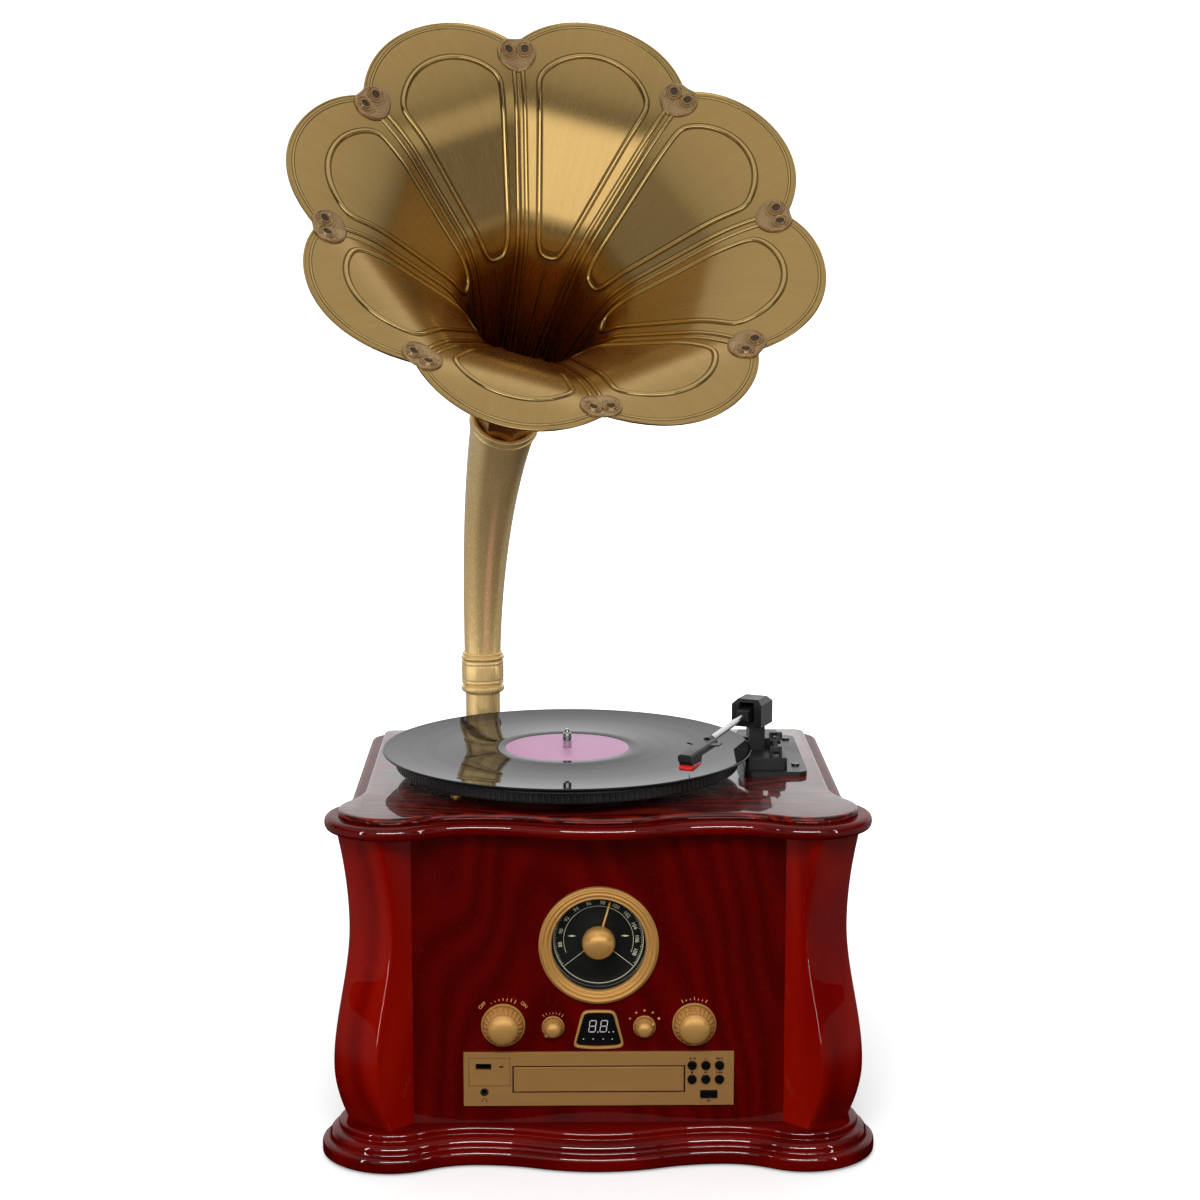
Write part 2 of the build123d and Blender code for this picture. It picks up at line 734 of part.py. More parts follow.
def dial_pointer():
    low = POINTER_LIFT - DIAL_DEEP
    hub = Pos(0, 0, low + POINTER_THICK / 2) * Cylinder(POINTER_HUB_R, POINTER_THICK)
    needle = Pos(0, POINTER_LONG / 2, low + POINTER_THICK / 2) * Box(POINTER_WIDE, POINTER_LONG, POINTER_THICK)
    pointer = Rot(0, 0, -POINTER_AIM) * (hub + needle)
    pointer -= Pos(0, 0, low) * Cylinder(CAP_SHAFT_R, POINTER_THICK * 4)
    return on_front(0, DIAL_Z, pointer)


def dial_cap():
    """Domed cap over the pointer's hub, on the shaft that carries the pointer."""
    seat = POINTER_LIFT - DIAL_DEEP + POINTER_THICK
    shoulder = seat + (CAP_PROUD - seat) * 0.55
    low = -DIAL_DEEP - DIAL_THICK - CAP_SHAFT_DEEP
    shape = turned(
        (0, low),
        (CAP_SHAFT_R, low),
        (CAP_SHAFT_R, seat),
        (CAP_R * 0.88, seat),
        (CAP_R, shoulder),
        (CAP_R * 0.78, shoulder + (CAP_PROUD - shoulder) * 0.66),
        (CAP_R * 0.42, CAP_PROUD - 0.5),
        (0, CAP_PROUD),
    )
    return on_front(0, DIAL_Z, shape)


def knob_collar(radius, bore):
    return turned((bore, 0), (radius, 0), (radius, COLLAR_THICK), (bore, COLLAR_THICK))


def knob_collars():
    large = knob_collar(COLLAR_R, SHAFT_R + SHAFT_FIT)
    small = knob_collar(SMALL_COLLAR_R, SMALL_SHAFT_R + SHAFT_FIT)
    return [
        on_front(-KNOB_X, KNOB_Z, large),
        on_front(KNOB_X, KNOB_Z, large),
        on_front(-SMALL_KNOB_X, SMALL_KNOB_Z, small),
        on_front(SMALL_KNOB_X, SMALL_KNOB_Z, small),
    ]


def knob(skirt_r, cap_r, tall, grips, shaft_r):
    """A knob with flat grips round its skirt and a raised round cap, on its shaft."""
    low = COLLAR_THICK + RUN
    skirt_top = low + (tall - low) * KNOB_SKIRT
    skirt = Pos(0, 0, low) * extrude(RegularPolygon(skirt_r, grips), skirt_top - low)
    cap = turned(
        (0, skirt_top),
        (cap_r, skirt_top),
        (cap_r, tall - cap_r * KNOB_DOME),
        (0, tall),
    )
    shaft = turned((0, -KNOB_SHAFT_DEEP), (shaft_r, -KNOB_SHAFT_DEEP), (shaft_r, low), (0, low))
    return skirt + cap + shaft


def large_knob(x):
    shape = knob(SKIRT_R, KNOB_CAP_R, KNOB_TALL, KNOB_GRIPS, SHAFT_R)
    return on_front(x, KNOB_Z, shape)


def small_knob(x, aim):
    shape = knob(SMALL_SKIRT_R, SMALL_CAP_R, SMALL_KNOB_TALL, SMALL_GRIPS, SMALL_SHAFT_R)
    low = COLLAR_THICK + RUN
    nub = Pos(0, SMALL_SKIRT_R, low + NUB_TALL / 2) * Box(NUB_WIDE, NUB_WIDE, NUB_TALL)
    return on_front(x, SMALL_KNOB_Z, shape + Rot(0, 0, -aim) * nub)


def display_outline(inset):
    """Window outline, narrower at the top, with rounded corners."""
    half = DISPLAY_TALL / 2
    corners = Polyline(
        (-DISPLAY_LOW_WIDE / 2, -half),
        (DISPLAY_LOW_WIDE / 2, -half),
        (DISPLAY_TOP_WIDE / 2, half),
        (-DISPLAY_TOP_WIDE / 2, half),
        close=True,
    )
    face = make_face(corners)
    face = fillet(face.vertices(), DISPLAY_ROUND)
    return offset(face, -inset) if inset else face


def display_frame():
    frame = extrude(display_outline(0), DISPLAY_PROUD)
    frame -= extrude(display_outline(DISPLAY_RIM), DISPLAY_PROUD)
    return on_front(0, DISPLAY_Z, frame)


def display_window():
    window = extrude(display_outline(DISPLAY_RIM), DISPLAY_GLASS + DISPLAY_DEEP)
    return on_front(0, DISPLAY_Z, Pos(0, 0, -DISPLAY_DEEP) * window)


def button_places():
    """Six round buttons, three across and two high."""
    names = ("previous", "play", "next", "stop", "program", "repeat")
    spots = [
        (BUTTON_X + n * BUTTON_STEP_X, z) for z in (BUTTON_HIGH_Z, BUTTON_LOW_Z) for n in range(3)
    ]
    return dict(zip(names, spots))


def faceplate():
    middle = (PLATE_LOW + PLATE_HIGH) / 2
    plate = Pos(0, 0, PLATE_THICK / 2) * Box(PLATE_WIDE, PLATE_HIGH - PLATE_LOW, PLATE_THICK)
    plate = chamfer(plate.faces().sort_by(Axis.Z)[-1].edges(), PLATE_BEVEL)
    plate = on_front(0, middle, plate)
    through = PLATE_THICK * 4
    drawer_middle = (DRAWER_LOW + DRAWER_HIGH) / 2
    plate -= on_front(0, drawer_middle, Box(DRAWER_WIDE, DRAWER_HIGH - DRAWER_LOW, through))
    plate -= on_front(USB_X, USB_Z, Box(USB_WIDE - 2 * USB_WALL, USB_TALL - 2 * USB_WALL, through))
    plate -= on_front(JACK_X, JACK_Z, Cylinder(JACK_R, through))
    for x, z in button_places().values():
        plate -= on_front(x, z, Cylinder(BUTTON_R + RUN, through))
    plate -= on_front(EJECT_X, EJECT_Z, Box(EJECT_WIDE + 2 * RUN, EJECT_TALL + 2 * RUN, through))
    return plate


def usb_socket():
    shell = Pos(0, 0, -USB_LONG / 2) * Box(USB_WIDE, USB_TALL, USB_LONG)
    shell -= Pos(0, 0, -USB_LONG / 2) * Box(USB_WIDE - 2 * USB_WALL, USB_TALL - 2 * USB_WALL, USB_LONG)
    back = Pos(0, 0, -USB_LONG + USB_WALL) * Box(USB_WIDE, USB_TALL, 2 * USB_WALL)
    tongue_long = USB_LONG - USB_TONGUE_BACK
    tongue_z = (USB_TALL - 2 * USB_WALL - USB_TONGUE) / 2
    tongue = Pos(0, tongue_z, -USB_TONGUE_BACK - tongue_long / 2) * Box(
        USB_WIDE - 2 * USB_WALL, USB_TONGUE, tongue_long
    )
    return on_front(USB_X, USB_Z, shell + back + tongue)


def headphone_socket():
    socket = turned(
        (JACK_BORE_R, PLATE_THICK),
        (JACK_BORE_R, -JACK_LONG + PLATE_THICK),
        (0, -JACK_LONG + PLATE_THICK),
        (0, -JACK_LONG),
        (JACK_BODY_R, -JACK_LONG),
        (JACK_BODY_R, 0),
        (JACK_R, 0),
        (JACK_R, PLATE_THICK),
    )
    return on_front(JACK_X, JACK_Z, socket)


def round_button(x, z):
    """Round button with a square lip behind the faceplate."""
    top = PLATE_THICK + BUTTON_PROUD
    button = Pos(0, 0, (top - RUN) / 2) * Cylinder(BUTTON_R, top + RUN)
    lip = 2 * (BUTTON_R + BUTTON_LIP)
    button += Pos(0, 0, -RUN - BUTTON_FLANGE / 2) * Box(lip, lip, BUTTON_FLANGE)
    button += Pos(0, 0, -RUN - BUTTON_STEM / 2) * Box(BUTTON_R, BUTTON_R, BUTTON_STEM)
    return on_front(x, z, button)


def eject_button():
    tall = PLATE_THICK + BUTTON_PROUD + RUN
    cap = Pos(0, 0, tall / 2 - RUN) * Box(EJECT_WIDE, EJECT_TALL, tall)
    lip = Pos(0, 0, -RUN - BUTTON_FLANGE / 2) * Box(
        EJECT_WIDE + 2 * (RUN + BUTTON_LIP), EJECT_TALL + 2 * (RUN + BUTTON_LIP), BUTTON_FLANGE
    )
    stem = Pos(0, 0, -BUTTON_STEM / 2 - RUN) * Box(EJECT_WIDE / 2, EJECT_TALL / 2, BUTTON_STEM)
    return on_front(EJECT_X, EJECT_Z, cap + lip + stem)


def disc_drawer():
    """Drawer front with a tray whose stepped pocket takes large and small discs."""
    half = DRAWER_WIDE / 2 - DRAWER_GAP
    low = DRAWER_LOW + DRAWER_GAP
    front = between(
        (-half, FRONT_Y - DRAWER_FACE, low), (half, FRONT_Y, DRAWER_HIGH - DRAWER_GAP)
    )
    front = chamfer(front.faces().sort_by(Axis.Y)[0].edges(), PLATE_BEVEL / 2)
    top = low + TRAY_THICK
    tray = between((-half, FRONT_Y, low), (half, FRONT_Y + TRAY_LONG, top))
    tray = fillet(tray.edges().filter_by(Axis.Z).sort_by(Axis.Y)[-2:], TRAY_THICK)
    pocket = Pos(0, FRONT_Y + TRAY_LONG / 2, top)
    tray -= pocket * Cylinder(DISC_POCKET_R, 2 * DISC_POCKET)
    tray -= pocket * Cylinder(SMALL_POCKET_R, 2 * (DISC_POCKET + SMALL_POCKET))
    tray -= pocket * Cylinder(TRAY_HUB_R, 4 * TRAY_THICK)
    return front + tray


def drawer_housing():
    """Open-fronted box that guides the drawer, behind the faceplate."""
    half = DRAWER_WIDE / 2 - DRAWER_GAP + RUN
    low, high = DRAWER_LOW + DRAWER_GAP - RUN, DRAWER_HIGH
    long = HOUSING_LONG
    outer = between(
        (-half - HOUSING_WALL, FRONT_Y, low - HOUSING_WALL),
        (half + HOUSING_WALL, FRONT_Y + long, high + HOUSING_WALL),
    )
    inner = between((-half, FRONT_Y, low), (half, FRONT_Y + long - HOUSING_WALL, high))
    return outer - inner


def turntable(shape):
    return Pos(DISC_X, DISC_Y, 0) * shape


def web_top():
    return RECORD_TOP - RECORD_THICK - MAT_THICK


def hub_low():
    return DECK_TOP + BEARING_FLANGE + RUN + SPINDLE_FLANGE


def platter():
    """Platter: web and rim, a drum for the belt, and a hub."""
    top = web_top()
    rim_low = top - PLATTER_TALL
    web_low = top - PLATTER_WEB
    drum_low = BELT_LOW - 1
    shape = turned(
        (SPINDLE_R, hub_low()),
        (HUB_R, hub_low()),
        (HUB_R, web_low),
        (DRUM_R - DRUM_WALL, web_low),
        (DRUM_R - DRUM_WALL, drum_low),
        (DRUM_R, drum_low),
        (DRUM_R, web_low),
        (PLATTER_R - PLATTER_WALL, web_low),
        (PLATTER_R - PLATTER_WALL, rim_low),
        (PLATTER_R, rim_low),
        (PLATTER_R, top),
        (SPINDLE_R, top),
    )
    return turntable(shape)


def platter_mat():
    top = web_top()
    mat = turned(
        (SPINDLE_R, top), (MAT_R, top), (MAT_R, top + MAT_THICK), (SPINDLE_R, top + MAT_THICK)
    )
    return turntable(mat)


def record():
    """Twelve-inch record."""
    low = RECORD_TOP - RECORD_THICK
    disc = turned(
        (RECORD_HOLE_R, low), (RECORD_R, low), (RECORD_R, RECORD_TOP), (RECORD_HOLE_R, RECORD_TOP)
    )
    return turntable(disc)


def spindle():
    """Shaft of the platter, with a groove round it just above the record."""
    low = DECK_TOP - SPINDLE_DEEP
    flange_low = hub_low() - SPINDLE_FLANGE
    tip = RECORD_TOP + SPINDLE_RISE
    pin = turned(
        (0, low),
        (SPINDLE_R, low),
        (SPINDLE_R, flange_low),
        (SPINDLE_FLANGE_R, flange_low),
        (SPINDLE_FLANGE_R, hub_low()),
        (SPINDLE_R, hub_low()),
        (SPINDLE_R, RECORD_TOP + SPINDLE_NECK_LOW),
        (SPINDLE_NECK_R, RECORD_TOP + SPINDLE_NECK_LOW),
        (SPINDLE_NECK_R, RECORD_TOP + SPINDLE_NECK_TOP),
        (SPINDLE_R, RECORD_TOP + SPINDLE_NECK_TOP),
        (SPINDLE_R, tip - SPINDLE_POINT),
        (0, tip),
    )
    return turntable(pin)


def spindle_bearing():
    """Flanged bush in the deck, closed at the bottom."""
    low = DECK_TOP - BEARING_DEEP
    bore = SPINDLE_R + SHAFT_FIT
    floor = DECK_TOP - SPINDLE_DEEP - RUN
    bush = turned(
        (0, low),
        (BEARING_R, low),
        (BEARING_R, DECK_TOP),
        (BEARING_FLANGE_R, DECK_TOP),
        (BEARING_FLANGE_R, DECK_TOP + BEARING_FLANGE),
        (bore, DECK_TOP + BEARING_FLANGE),
        (bore, floor),
        (0, floor),
    )
    return turntable(bush)


def motor():
    x, y = pulley_place()
    low = DECK_LOW - MOTOR_TALL
    bore = PULLEY_SHAFT_R + SHAFT_FIT
    can = turned(
        (0, low),
        (MOTOR_R, low),
        (MOTOR_R, DECK_LOW),
        (bore, DECK_LOW),
        (bore, low + MOTOR_TALL / 3),
        (0, low + MOTOR_TALL / 3),
    )
    return Pos(x, y, 0) * can


def motor_pulley():
    """Pulley with a rim at its top, on the motor's shaft."""
    x, y = pulley_place()
    low = DECK_LOW - MOTOR_TALL / 2
    top = BELT_LOW + BELT_TALL
    rim = PULLEY_R + PULLEY_RIM
    shape = turned(
        (0, low),
        (PULLEY_SHAFT_R, low),
        (PULLEY_SHAFT_R, BELT_LOW - PULLEY_RIM),
        (PULLEY_R, BELT_LOW - PULLEY_RIM),
        (PULLEY_R, top + PULLEY_RIM),
        (rim, top + PULLEY_RIM),
        (rim, top + 2 * PULLEY_RIM),
        (0, top + 2 * PULLEY_RIM),
    )
    return Pos(x, y, 0) * shape


def drive_belt():
    """Flat belt round the platter's drum and the pulley."""
    x, y = pulley_place()

    def loop(gap):
        drum = Pos(DISC_X, DISC_Y) * Circle(DRUM_R + gap)
        pulley = Pos(x, y) * Circle(PULLEY_R + gap)
        return make_hull(drum.edges() + pulley.edges())

    belt = extrude(loop(RUN + BELT_THICK), BELT_TALL) - extrude(loop(RUN), BELT_TALL)
    return Pos(0, 0, BELT_LOW) * belt


def tonearm_base():
    """Flange, raised box, round boss and column of the tonearm's base."""
    wide, long = ARM_BASE_RIGHT - ARM_BASE_LEFT, ARM_BASE_BACK - ARM_BASE_FRONT
    middle = Pos((ARM_BASE_LEFT + ARM_BASE_RIGHT) / 2, (ARM_BASE_FRONT + ARM_BASE_BACK) / 2, DECK_TOP)
    flange = middle * extrude(RectangleRounded(wide, long, ARM_BASE_ROUND), ARM_FLANGE)
    box_left = ARM_BASE_LEFT + 1
    box_wide, box_long = ARM_BOX_RIGHT - box_left, ARM_BOX_BACK - ARM_BOX_FRONT
    box_middle = Pos((box_left + ARM_BOX_RIGHT) / 2, (ARM_BOX_FRONT + ARM_BOX_BACK) / 2, DECK_TOP)
    box = box_middle * extrude(RectangleRounded(box_wide, box_long, ARM_BOX_ROUND), ARM_BOX_TALL)
    box = chamfer(box.faces().sort_by(Axis.Z)[-1].edges(), ARM_BOX_ROUND / 4)
    base = flange + box
    base += Pos(BOSS_X, BOSS_Y, ARM_BOX_TOP + BOSS_TALL / 2) * Cylinder(BOSS_R, BOSS_TALL)
    column = between(
        (COLUMN_LEFT, COLUMN_FRONT, ARM_BOX_TOP), (COLUMN_RIGHT, COLUMN_BACK, COLUMN_TOP)
    )
    base += column
    base -= Pos(ARM_X, ARM_Y, COLUMN_TOP) * Cylinder(
        TURRET_SHAFT_R + SHAFT_FIT, 2 * (TURRET_SHAFT_LONG + RUN)
    )
    base -= Pos(LIFTER_X, LIFTER_Y, ARM_BOX_TOP) * Cylinder(LIFTER_R + SHAFT_FIT, 2 * LIFTER_GUIDE)
    return base + clip_ears()



def clip_ears():
    """Two ears on the box that hold the arm clip's pin."""
    apart = CLIP_HUB_WIDE / 2 + RUN + CLIP_EAR / 2
    radius = CLIP_EAR_TALL / 2
    ears = []
    for side in (-1, 1):
        x = CLIP_X + side * apart
        ear = Pos(x, CLIP_Y, CLIP_Z) * Rot(0, 90, 0) * Cylinder(radius, CLIP_EAR)
        foot = between(
            (x - CLIP_EAR / 2, CLIP_Y - radius, ARM_BOX_TOP), (x + CLIP_EAR / 2, CLIP_Y + radius, CLIP_Z)
        )
        hole = Pos(x, CLIP_Y, CLIP_Z) * Rot(0, 90, 0) * Cylinder(CLIP_PIN_R + SHAFT_FIT, CLIP_EAR * 2)
        ears.append(ear + foot - hole)
    return ears


def arm_clip():
    """Fork that holds the parked arm, leaning back when it isn't in use."""
    hub = Rot(0, 90, 0) * Cylinder(CLIP_EAR_TALL / 2 - RUN, CLIP_HUB_WIDE)
    pin = Rot(0, 90, 0) * Cylinder(CLIP_PIN_R, CLIP_HUB_WIDE + 2 * (RUN + CLIP_EAR))
    stem_long = CLIP_LONG * 0.55
    stem = Pos(0, 0, stem_long / 2) * Box(CLIP_HUB_WIDE * 0.7, CLIP_PRONG * 2, stem_long)
    bridge = Pos(0, 0, stem_long) * Box(CLIP_FORK, CLIP_PRONG * 2, CLIP_PRONG * 2)
    prong_long = CLIP_LONG - stem_long
    shape = hub + pin + stem + bridge
    for side in (-1, 1):
        x = side * (CLIP_FORK - CLIP_PRONG) / 2
        shape += Pos(x, 0, stem_long + prong_long / 2) * Box(CLIP_PRONG, CLIP_PRONG * 2, prong_long)
    return Pos(CLIP_X, CLIP_Y, CLIP_Z) * Rot(-(90 - CLIP_LEAN), 0, 0) * shape


def cue_lifter():
    """Rod with a curved finger lever at its top, sliding in the base."""
    low = ARM_BOX_TOP - LIFTER_GUIDE + RUN
    rod = Pos(0, 0, (low + LIFTER_TOP) / 2) * Cylinder(LIFTER_R, LIFTER_TOP - low)
    hook = Pos(LIFTER_HOOK / 2, 0, LIFTER_TOP - LIFTER_R) * Box(LIFTER_HOOK, 2 * LIFTER_R, 2 * LIFTER_R)
    finger = Pos(LIFTER_HOOK, 0, LIFTER_TOP - 2 * LIFTER_R) * Box(2 * LIFTER_R, 3 * LIFTER_R, 4 * LIFTER_R)
    finger = fillet(finger.edges().filter_by(Axis.Y), LIFTER_R / 2)
    return Pos(LIFTER_X, LIFTER_Y, 0) * (rod + hook + finger)


def along_arm(shape):
    """Turret frame: x along the arm from the turret's axis, y to its right, z up."""
    return Pos(ARM_X, ARM_Y, 0) * Rot(0, 0, -90 - ARM_AIM) * shape


def down_arm(shape):
    """Arm frame: x down the sloping arm from its lift pivot."""
    return along_arm(Pos(PIVOT_S, 0, PIVOT_Z) * Rot(0, ARM_SLOPE, 0) * shape)


def arm_turret():
    """Swinging head: a fork that carries the arm's pivot pin, on a shaft in the column."""
    low = COLUMN_TOP + RUN
    half = TURRET_WIDE / 2
    block = between((TURRET_BACK, -half, low), (TURRET_FRONT, half, TURRET_TOP))
    block = chamfer(block.faces().sort_by(Axis.Z)[-1].edges(), TURRET_CHAMFER)
    slot = between(
        (TURRET_BACK + TURRET_FLOOR, -FORK_GAP / 2, low + TURRET_FLOOR),
        (TURRET_FRONT + 1, FORK_GAP / 2, TURRET_TOP - TURRET_FLOOR * 0.6),
    )
    block -= slot
    block -= Pos(PIVOT_S, 0, PIVOT_Z) * Rot(90, 0, 0) * Cylinder(PIVOT_R + SHAFT_FIT, TURRET_WIDE * 2)
    block += Pos(0, 0, low - TURRET_SHAFT_LONG / 2) * Cylinder(TURRET_SHAFT_R, TURRET_SHAFT_LONG)
    return along_arm(block)


def arm_block():
    """Block in the fork, with the pivot pin through it and the tube's bore in front."""
    half = BLOCK_WIDE / 2
    tall = BLOCK_TALL / 2
    block = between((BLOCK_BACK, -half, -tall), (BLOCK_FRONT, half, tall))
    block = chamfer(block.faces().sort_by(Axis.X)[-1].edges(), BLOCK_TALL / 6)
    block -= Pos(BLOCK_FRONT, 0, 0) * Rot(0, 90, 0) * Cylinder(TUBE_R, 2 * TUBE_INTO_BLOCK)
    block += Rot(90, 0, 0) * Cylinder(PIVOT_R, TURRET_WIDE)
    return down_arm(block)


def arm_tube():
    start = BLOCK_FRONT - TUBE_INTO_BLOCK
    long = TUBE_END - start
    tube = Cylinder(TUBE_R, long) - Cylinder(TUBE_R - TUBE_WALL, long)
    return down_arm(Pos(start + long / 2, 0, 0) * Rot(0, 90, 0) * tube)


def headshell():
    """Tapered shell with a socket for the tube, a skirt, and a finger wing each side."""
    outline = Polyline(
        (SHELL_BACK, -SHELL_WIDE / 2),
        (SHELL_FRONT, -SHELL_NOSE / 2),
        (SHELL_FRONT, SHELL_NOSE / 2),
        (SHELL_BACK, SHELL_WIDE / 2),
        close=True,
    )
    tall = SHELL_THICK + SHELL_SKIRT
    shell = Pos(0, 0, -tall + SHELL_THICK) * extrude(make_face(outline), tall)
    wall = SHELL_THICK / 2
    hollow = Polyline(
        (SHELL_BACK + SOCKET_LONG * 1.6, -SHELL_WIDE / 2 + wall),
        (SHELL_FRONT - wall, -SHELL_NOSE / 2 + wall),
        (SHELL_FRONT - wall, SHELL_NOSE / 2 - wall),
        (SHELL_BACK + SOCKET_LONG * 1.6, SHELL_WIDE / 2 - wall),
        close=True,
    )
    shell = chamfer(shell.faces().sort_by(Axis.Z)[-1].edges(), wall)
    shell -= Pos(0, 0, -SHELL_SKIRT * 2) * extrude(make_face(hollow), SHELL_SKIRT * 2)
    shell += Pos(SHELL_BACK, 0, 0) * Rot(0, 90, 0) * Cylinder(SOCKET_R, SOCKET_LONG)
    shell -= Pos(TUBE_END - SOCKET_LONG, 0, 0) * Rot(0, 90, 0) * Cylinder(TUBE_R, SOCKET_LONG * 2)
    wing_at = SHELL_BACK + SOCKET_LONG * 1.2
    for side in (-1, 1):
        wing = Polyline(
            (wing_at, side * SHELL_WIDE * 0.42),
            (wing_at - WING_LONG / 2, side * WING_SPAN / 2),
            (wing_at + WING_LONG / 2, side * WING_SPAN / 2),
            (wing_at + WING_LONG, side * SHELL_WIDE * 0.42),
            close=True,
        )
        shell += extrude(make_face(wing), WING_THICK)
    return down_arm(shell)


def cartridge():
    """Cartridge body under the shell's nose, with a sloping front."""
    front = SHELL_FRONT - SHELL_THICK
    low = -CARTRIDGE_TALL - SHELL_SKIRT
    side = Polyline(
        (CARTRIDGE_BACK, -SHELL_SKIRT),
        (front, -SHELL_SKIRT),
        (front - 1, low),
        (CARTRIDGE_BACK + 2, low),
        close=True,
    )
    half = CARTRIDGE_WIDE / 2
    body = extrude(Plane.XZ * make_face(side), half, both=True)
    return down_arm(body)


def stylus_low():
    """How far below the arm's line the tip must reach to hover just above the record."""
    reach = STYLUS_S
    slope = math.radians(ARM_SLOPE)
    line_z = PIVOT_Z - reach * math.sin(slope)
    return (line_z - RECORD_TOP - STYLUS_HOVER) / math.cos(slope)


def stylus():
    """Stylus holder with a wedge nose, and the tip's cantilever under it."""
    front = SHELL_FRONT - SHELL_THICK
    top = -CARTRIDGE_TALL - SHELL_SKIRT
    low = -stylus_low()
    side = Polyline(
        (CARTRIDGE_BACK + 3, top),
        (front + 1.5, top),
        (front + 0.5, low + STYLUS_NOSE / 4),
        (STYLUS_S, low),
        (STYLUS_S - 2, low + STYLUS_NOSE / 4),
        (CARTRIDGE_BACK + 3, top - 1),
        close=True,
    )
    body = extrude(Plane.XZ * make_face(side), CARTRIDGE_WIDE / 2, both=True)
    return down_arm(body)


def plain_ring(inner, outer, low, tall):
    high = low + tall
    return turned((inner, low), (outer, low), (outer, high), (inner, high))


def pipe_socket():
    """Flanged tube on the deck, with a ring and a wide band round its top."""
    top = BAND_Z + BAND_TALL
    tube = turned(
        (SOCKET_BORE_R, DECK_TOP),
        (FLANGE_R, DECK_TOP),
        (FLANGE_R, DECK_TOP + FLANGE_THICK),
        (SOCKET_TUBE_R, DECK_TOP + FLANGE_THICK),
        (SOCKET_TUBE_R, top),
        (SOCKET_BORE_R, top),
    )
    tube += plain_ring(SOCKET_BORE_R, RING_R, RING_LOW_Z, RING_TALL)
    tube += plain_ring(SOCKET_BORE_R, BAND_R, BAND_Z, BAND_TALL)
    return Pos(PIPE_X, PIPE_Y, 0) * tube


def heading():
    """The horn's level direction, as a unit vector."""
    aim = math.radians(HORN_AZIMUTH)
    return Vector(math.sin(aim), -math.cos(aim), 0)


def pipe_plane(angle):
    """Plane square to the bent pipe, angle degrees round its bend."""
    turn = math.radians(angle)
    level, up = heading(), Vector(0, 0, 1)
    centre = Vector(PIPE_X, PIPE_Y, BEND_Z) + level * (BEND_R * (1 - math.cos(turn)))
    centre += up * (BEND_R * math.sin(turn))
    tangent = level * math.sin(turn) + up * math.cos(turn)
    return Plane(origin=centre, x_dir=up.cross(level), z_dir=tangent)


def horn_plane():
    """Plane of the pipe's mouth: its normal is the horn's axis."""
    return pipe_plane(90 - HORN_ELEVATION)


def bent_pipe(thinner):
    """The bend as a loft through circles that widen towards the mouth."""
    full = 90 - HORN_ELEVATION
    rings = []
    for n in range(PIPE_STATIONS):
        share = n / (PIPE_STATIONS - 1)
        radius = PIPE_R + (MOUTH_R - PIPE_R) * share**FLARE_POWER - thinner
        rings.append(pipe_plane(full * share) * Circle(radius))
    return loft(rings, ruled=True)


def elbow_pipe():
    """Bent pipe with a band at its mouth, a ring at its foot and a spigot for the socket."""
    pipe = bent_pipe(0) - bent_pipe(PIPE_WALL)
    inside = MOUTH_R - PIPE_WALL * 0.8
    band = Cylinder(MOUTH_R + MOUTH_BAND_THICK, MOUTH_BAND) - Cylinder(inside, MOUTH_BAND)
    pipe += horn_plane().location * Pos(0, 0, -MOUTH_BAND / 2) * band
    seat = BAND_Z + BAND_TALL + RUN
    foot = plain_ring(PIPE_R - PIPE_WALL / 2, RING_R, seat, RING_TALL)
    spigot_r = SOCKET_BORE_R - SHAFT_FIT
    bore = spigot_r - PIPE_WALL
    spigot = turned(
        (bore, seat - SPIGOT_LONG),
        (spigot_r, seat - SPIGOT_LONG),
        (spigot_r, seat),
        (PIPE_R, seat),
        (PIPE_R, BEND_Z),
        (bore, BEND_Z),
    )
    return pipe + Pos(PIPE_X, PIPE_Y, 0) * (foot + spigot)


def petal_curve(height):
    """A petal's lengthwise curve, moved off the sheet's face towards the listener."""
    flat = math.cos(math.pi / PETALS)
    seam = (
        (NECK_R, -NECK_DEEP),
        (MOUTH_NECK_R, 0),
        (THROAT_R, THROAT_H),
        (BELL_R, BELL_H),
        (FLARE_R, FLARE_H),
        (LIP_R, LIP_H),
        (RIM_R, RIM_H),
    )
    points = [(r * flat - height, h + height) for r, h in seam]
    curve = Line(points[0], points[1])
    tangent = Vector(THROAT_SLOPE, 1)
    for start, finish in zip(points[1:], points[2:]):
        arc = TangentArc(start, finish, tangent=tangent)
        curve += arc
        tangent = arc % 1
    return curve


def petal_layer(low, high):
    """Everything between two heights off the sheet's face, for a petal centred on +X."""
    inner, outer = petal_curve(high), petal_curve(low)
    ends = Line(inner @ 0, outer @ 0) + Line(inner @ 1, outer @ 1)
    return extrude(Plane.XZ * make_face(inner + outer + ends), NOTCH_R / 2, both=True)


def petal_outline():
    """A petal seen along the horn's axis: two straight seams and a round lobe."""
    half = math.pi / PETALS
    notch_x, notch_y = NOTCH_R * math.cos(half), NOTCH_R * math.sin(half)
    rim = ThreePointArc((notch_x, -notch_y), (LOBE_REACH, 0), (notch_x, notch_y))
    return make_face(rim + Polyline((notch_x, notch_y), (0, 0), (notch_x, -notch_y)))


def panel_outline():
    """Teardrop in the middle of a petal."""
    outer = Pos(PANEL_OUTER_AT, 0) * Circle(PANEL_OUTER_R)
    inner = Pos(PANEL_INNER_AT, 0) * Circle(PANEL_INNER_R)
    return make_hull(outer.edges() + inner.edges())


def pillar(face):
    """A face on the horn's local XY plane, drawn out over the horn's whole height."""
    return Pos(0, 0, -2 * NECK_DEEP) * extrude(face, RIM_H + 4 * NECK_DEEP)


def petal():
    """One sheet petal with a raised teardrop panel."""
    sheet = petal_layer(-SHEET, 0) & pillar(petal_outline())
    return sheet + (petal_layer(-SHEET / 2, BEAD) & pillar(panel_outline()))


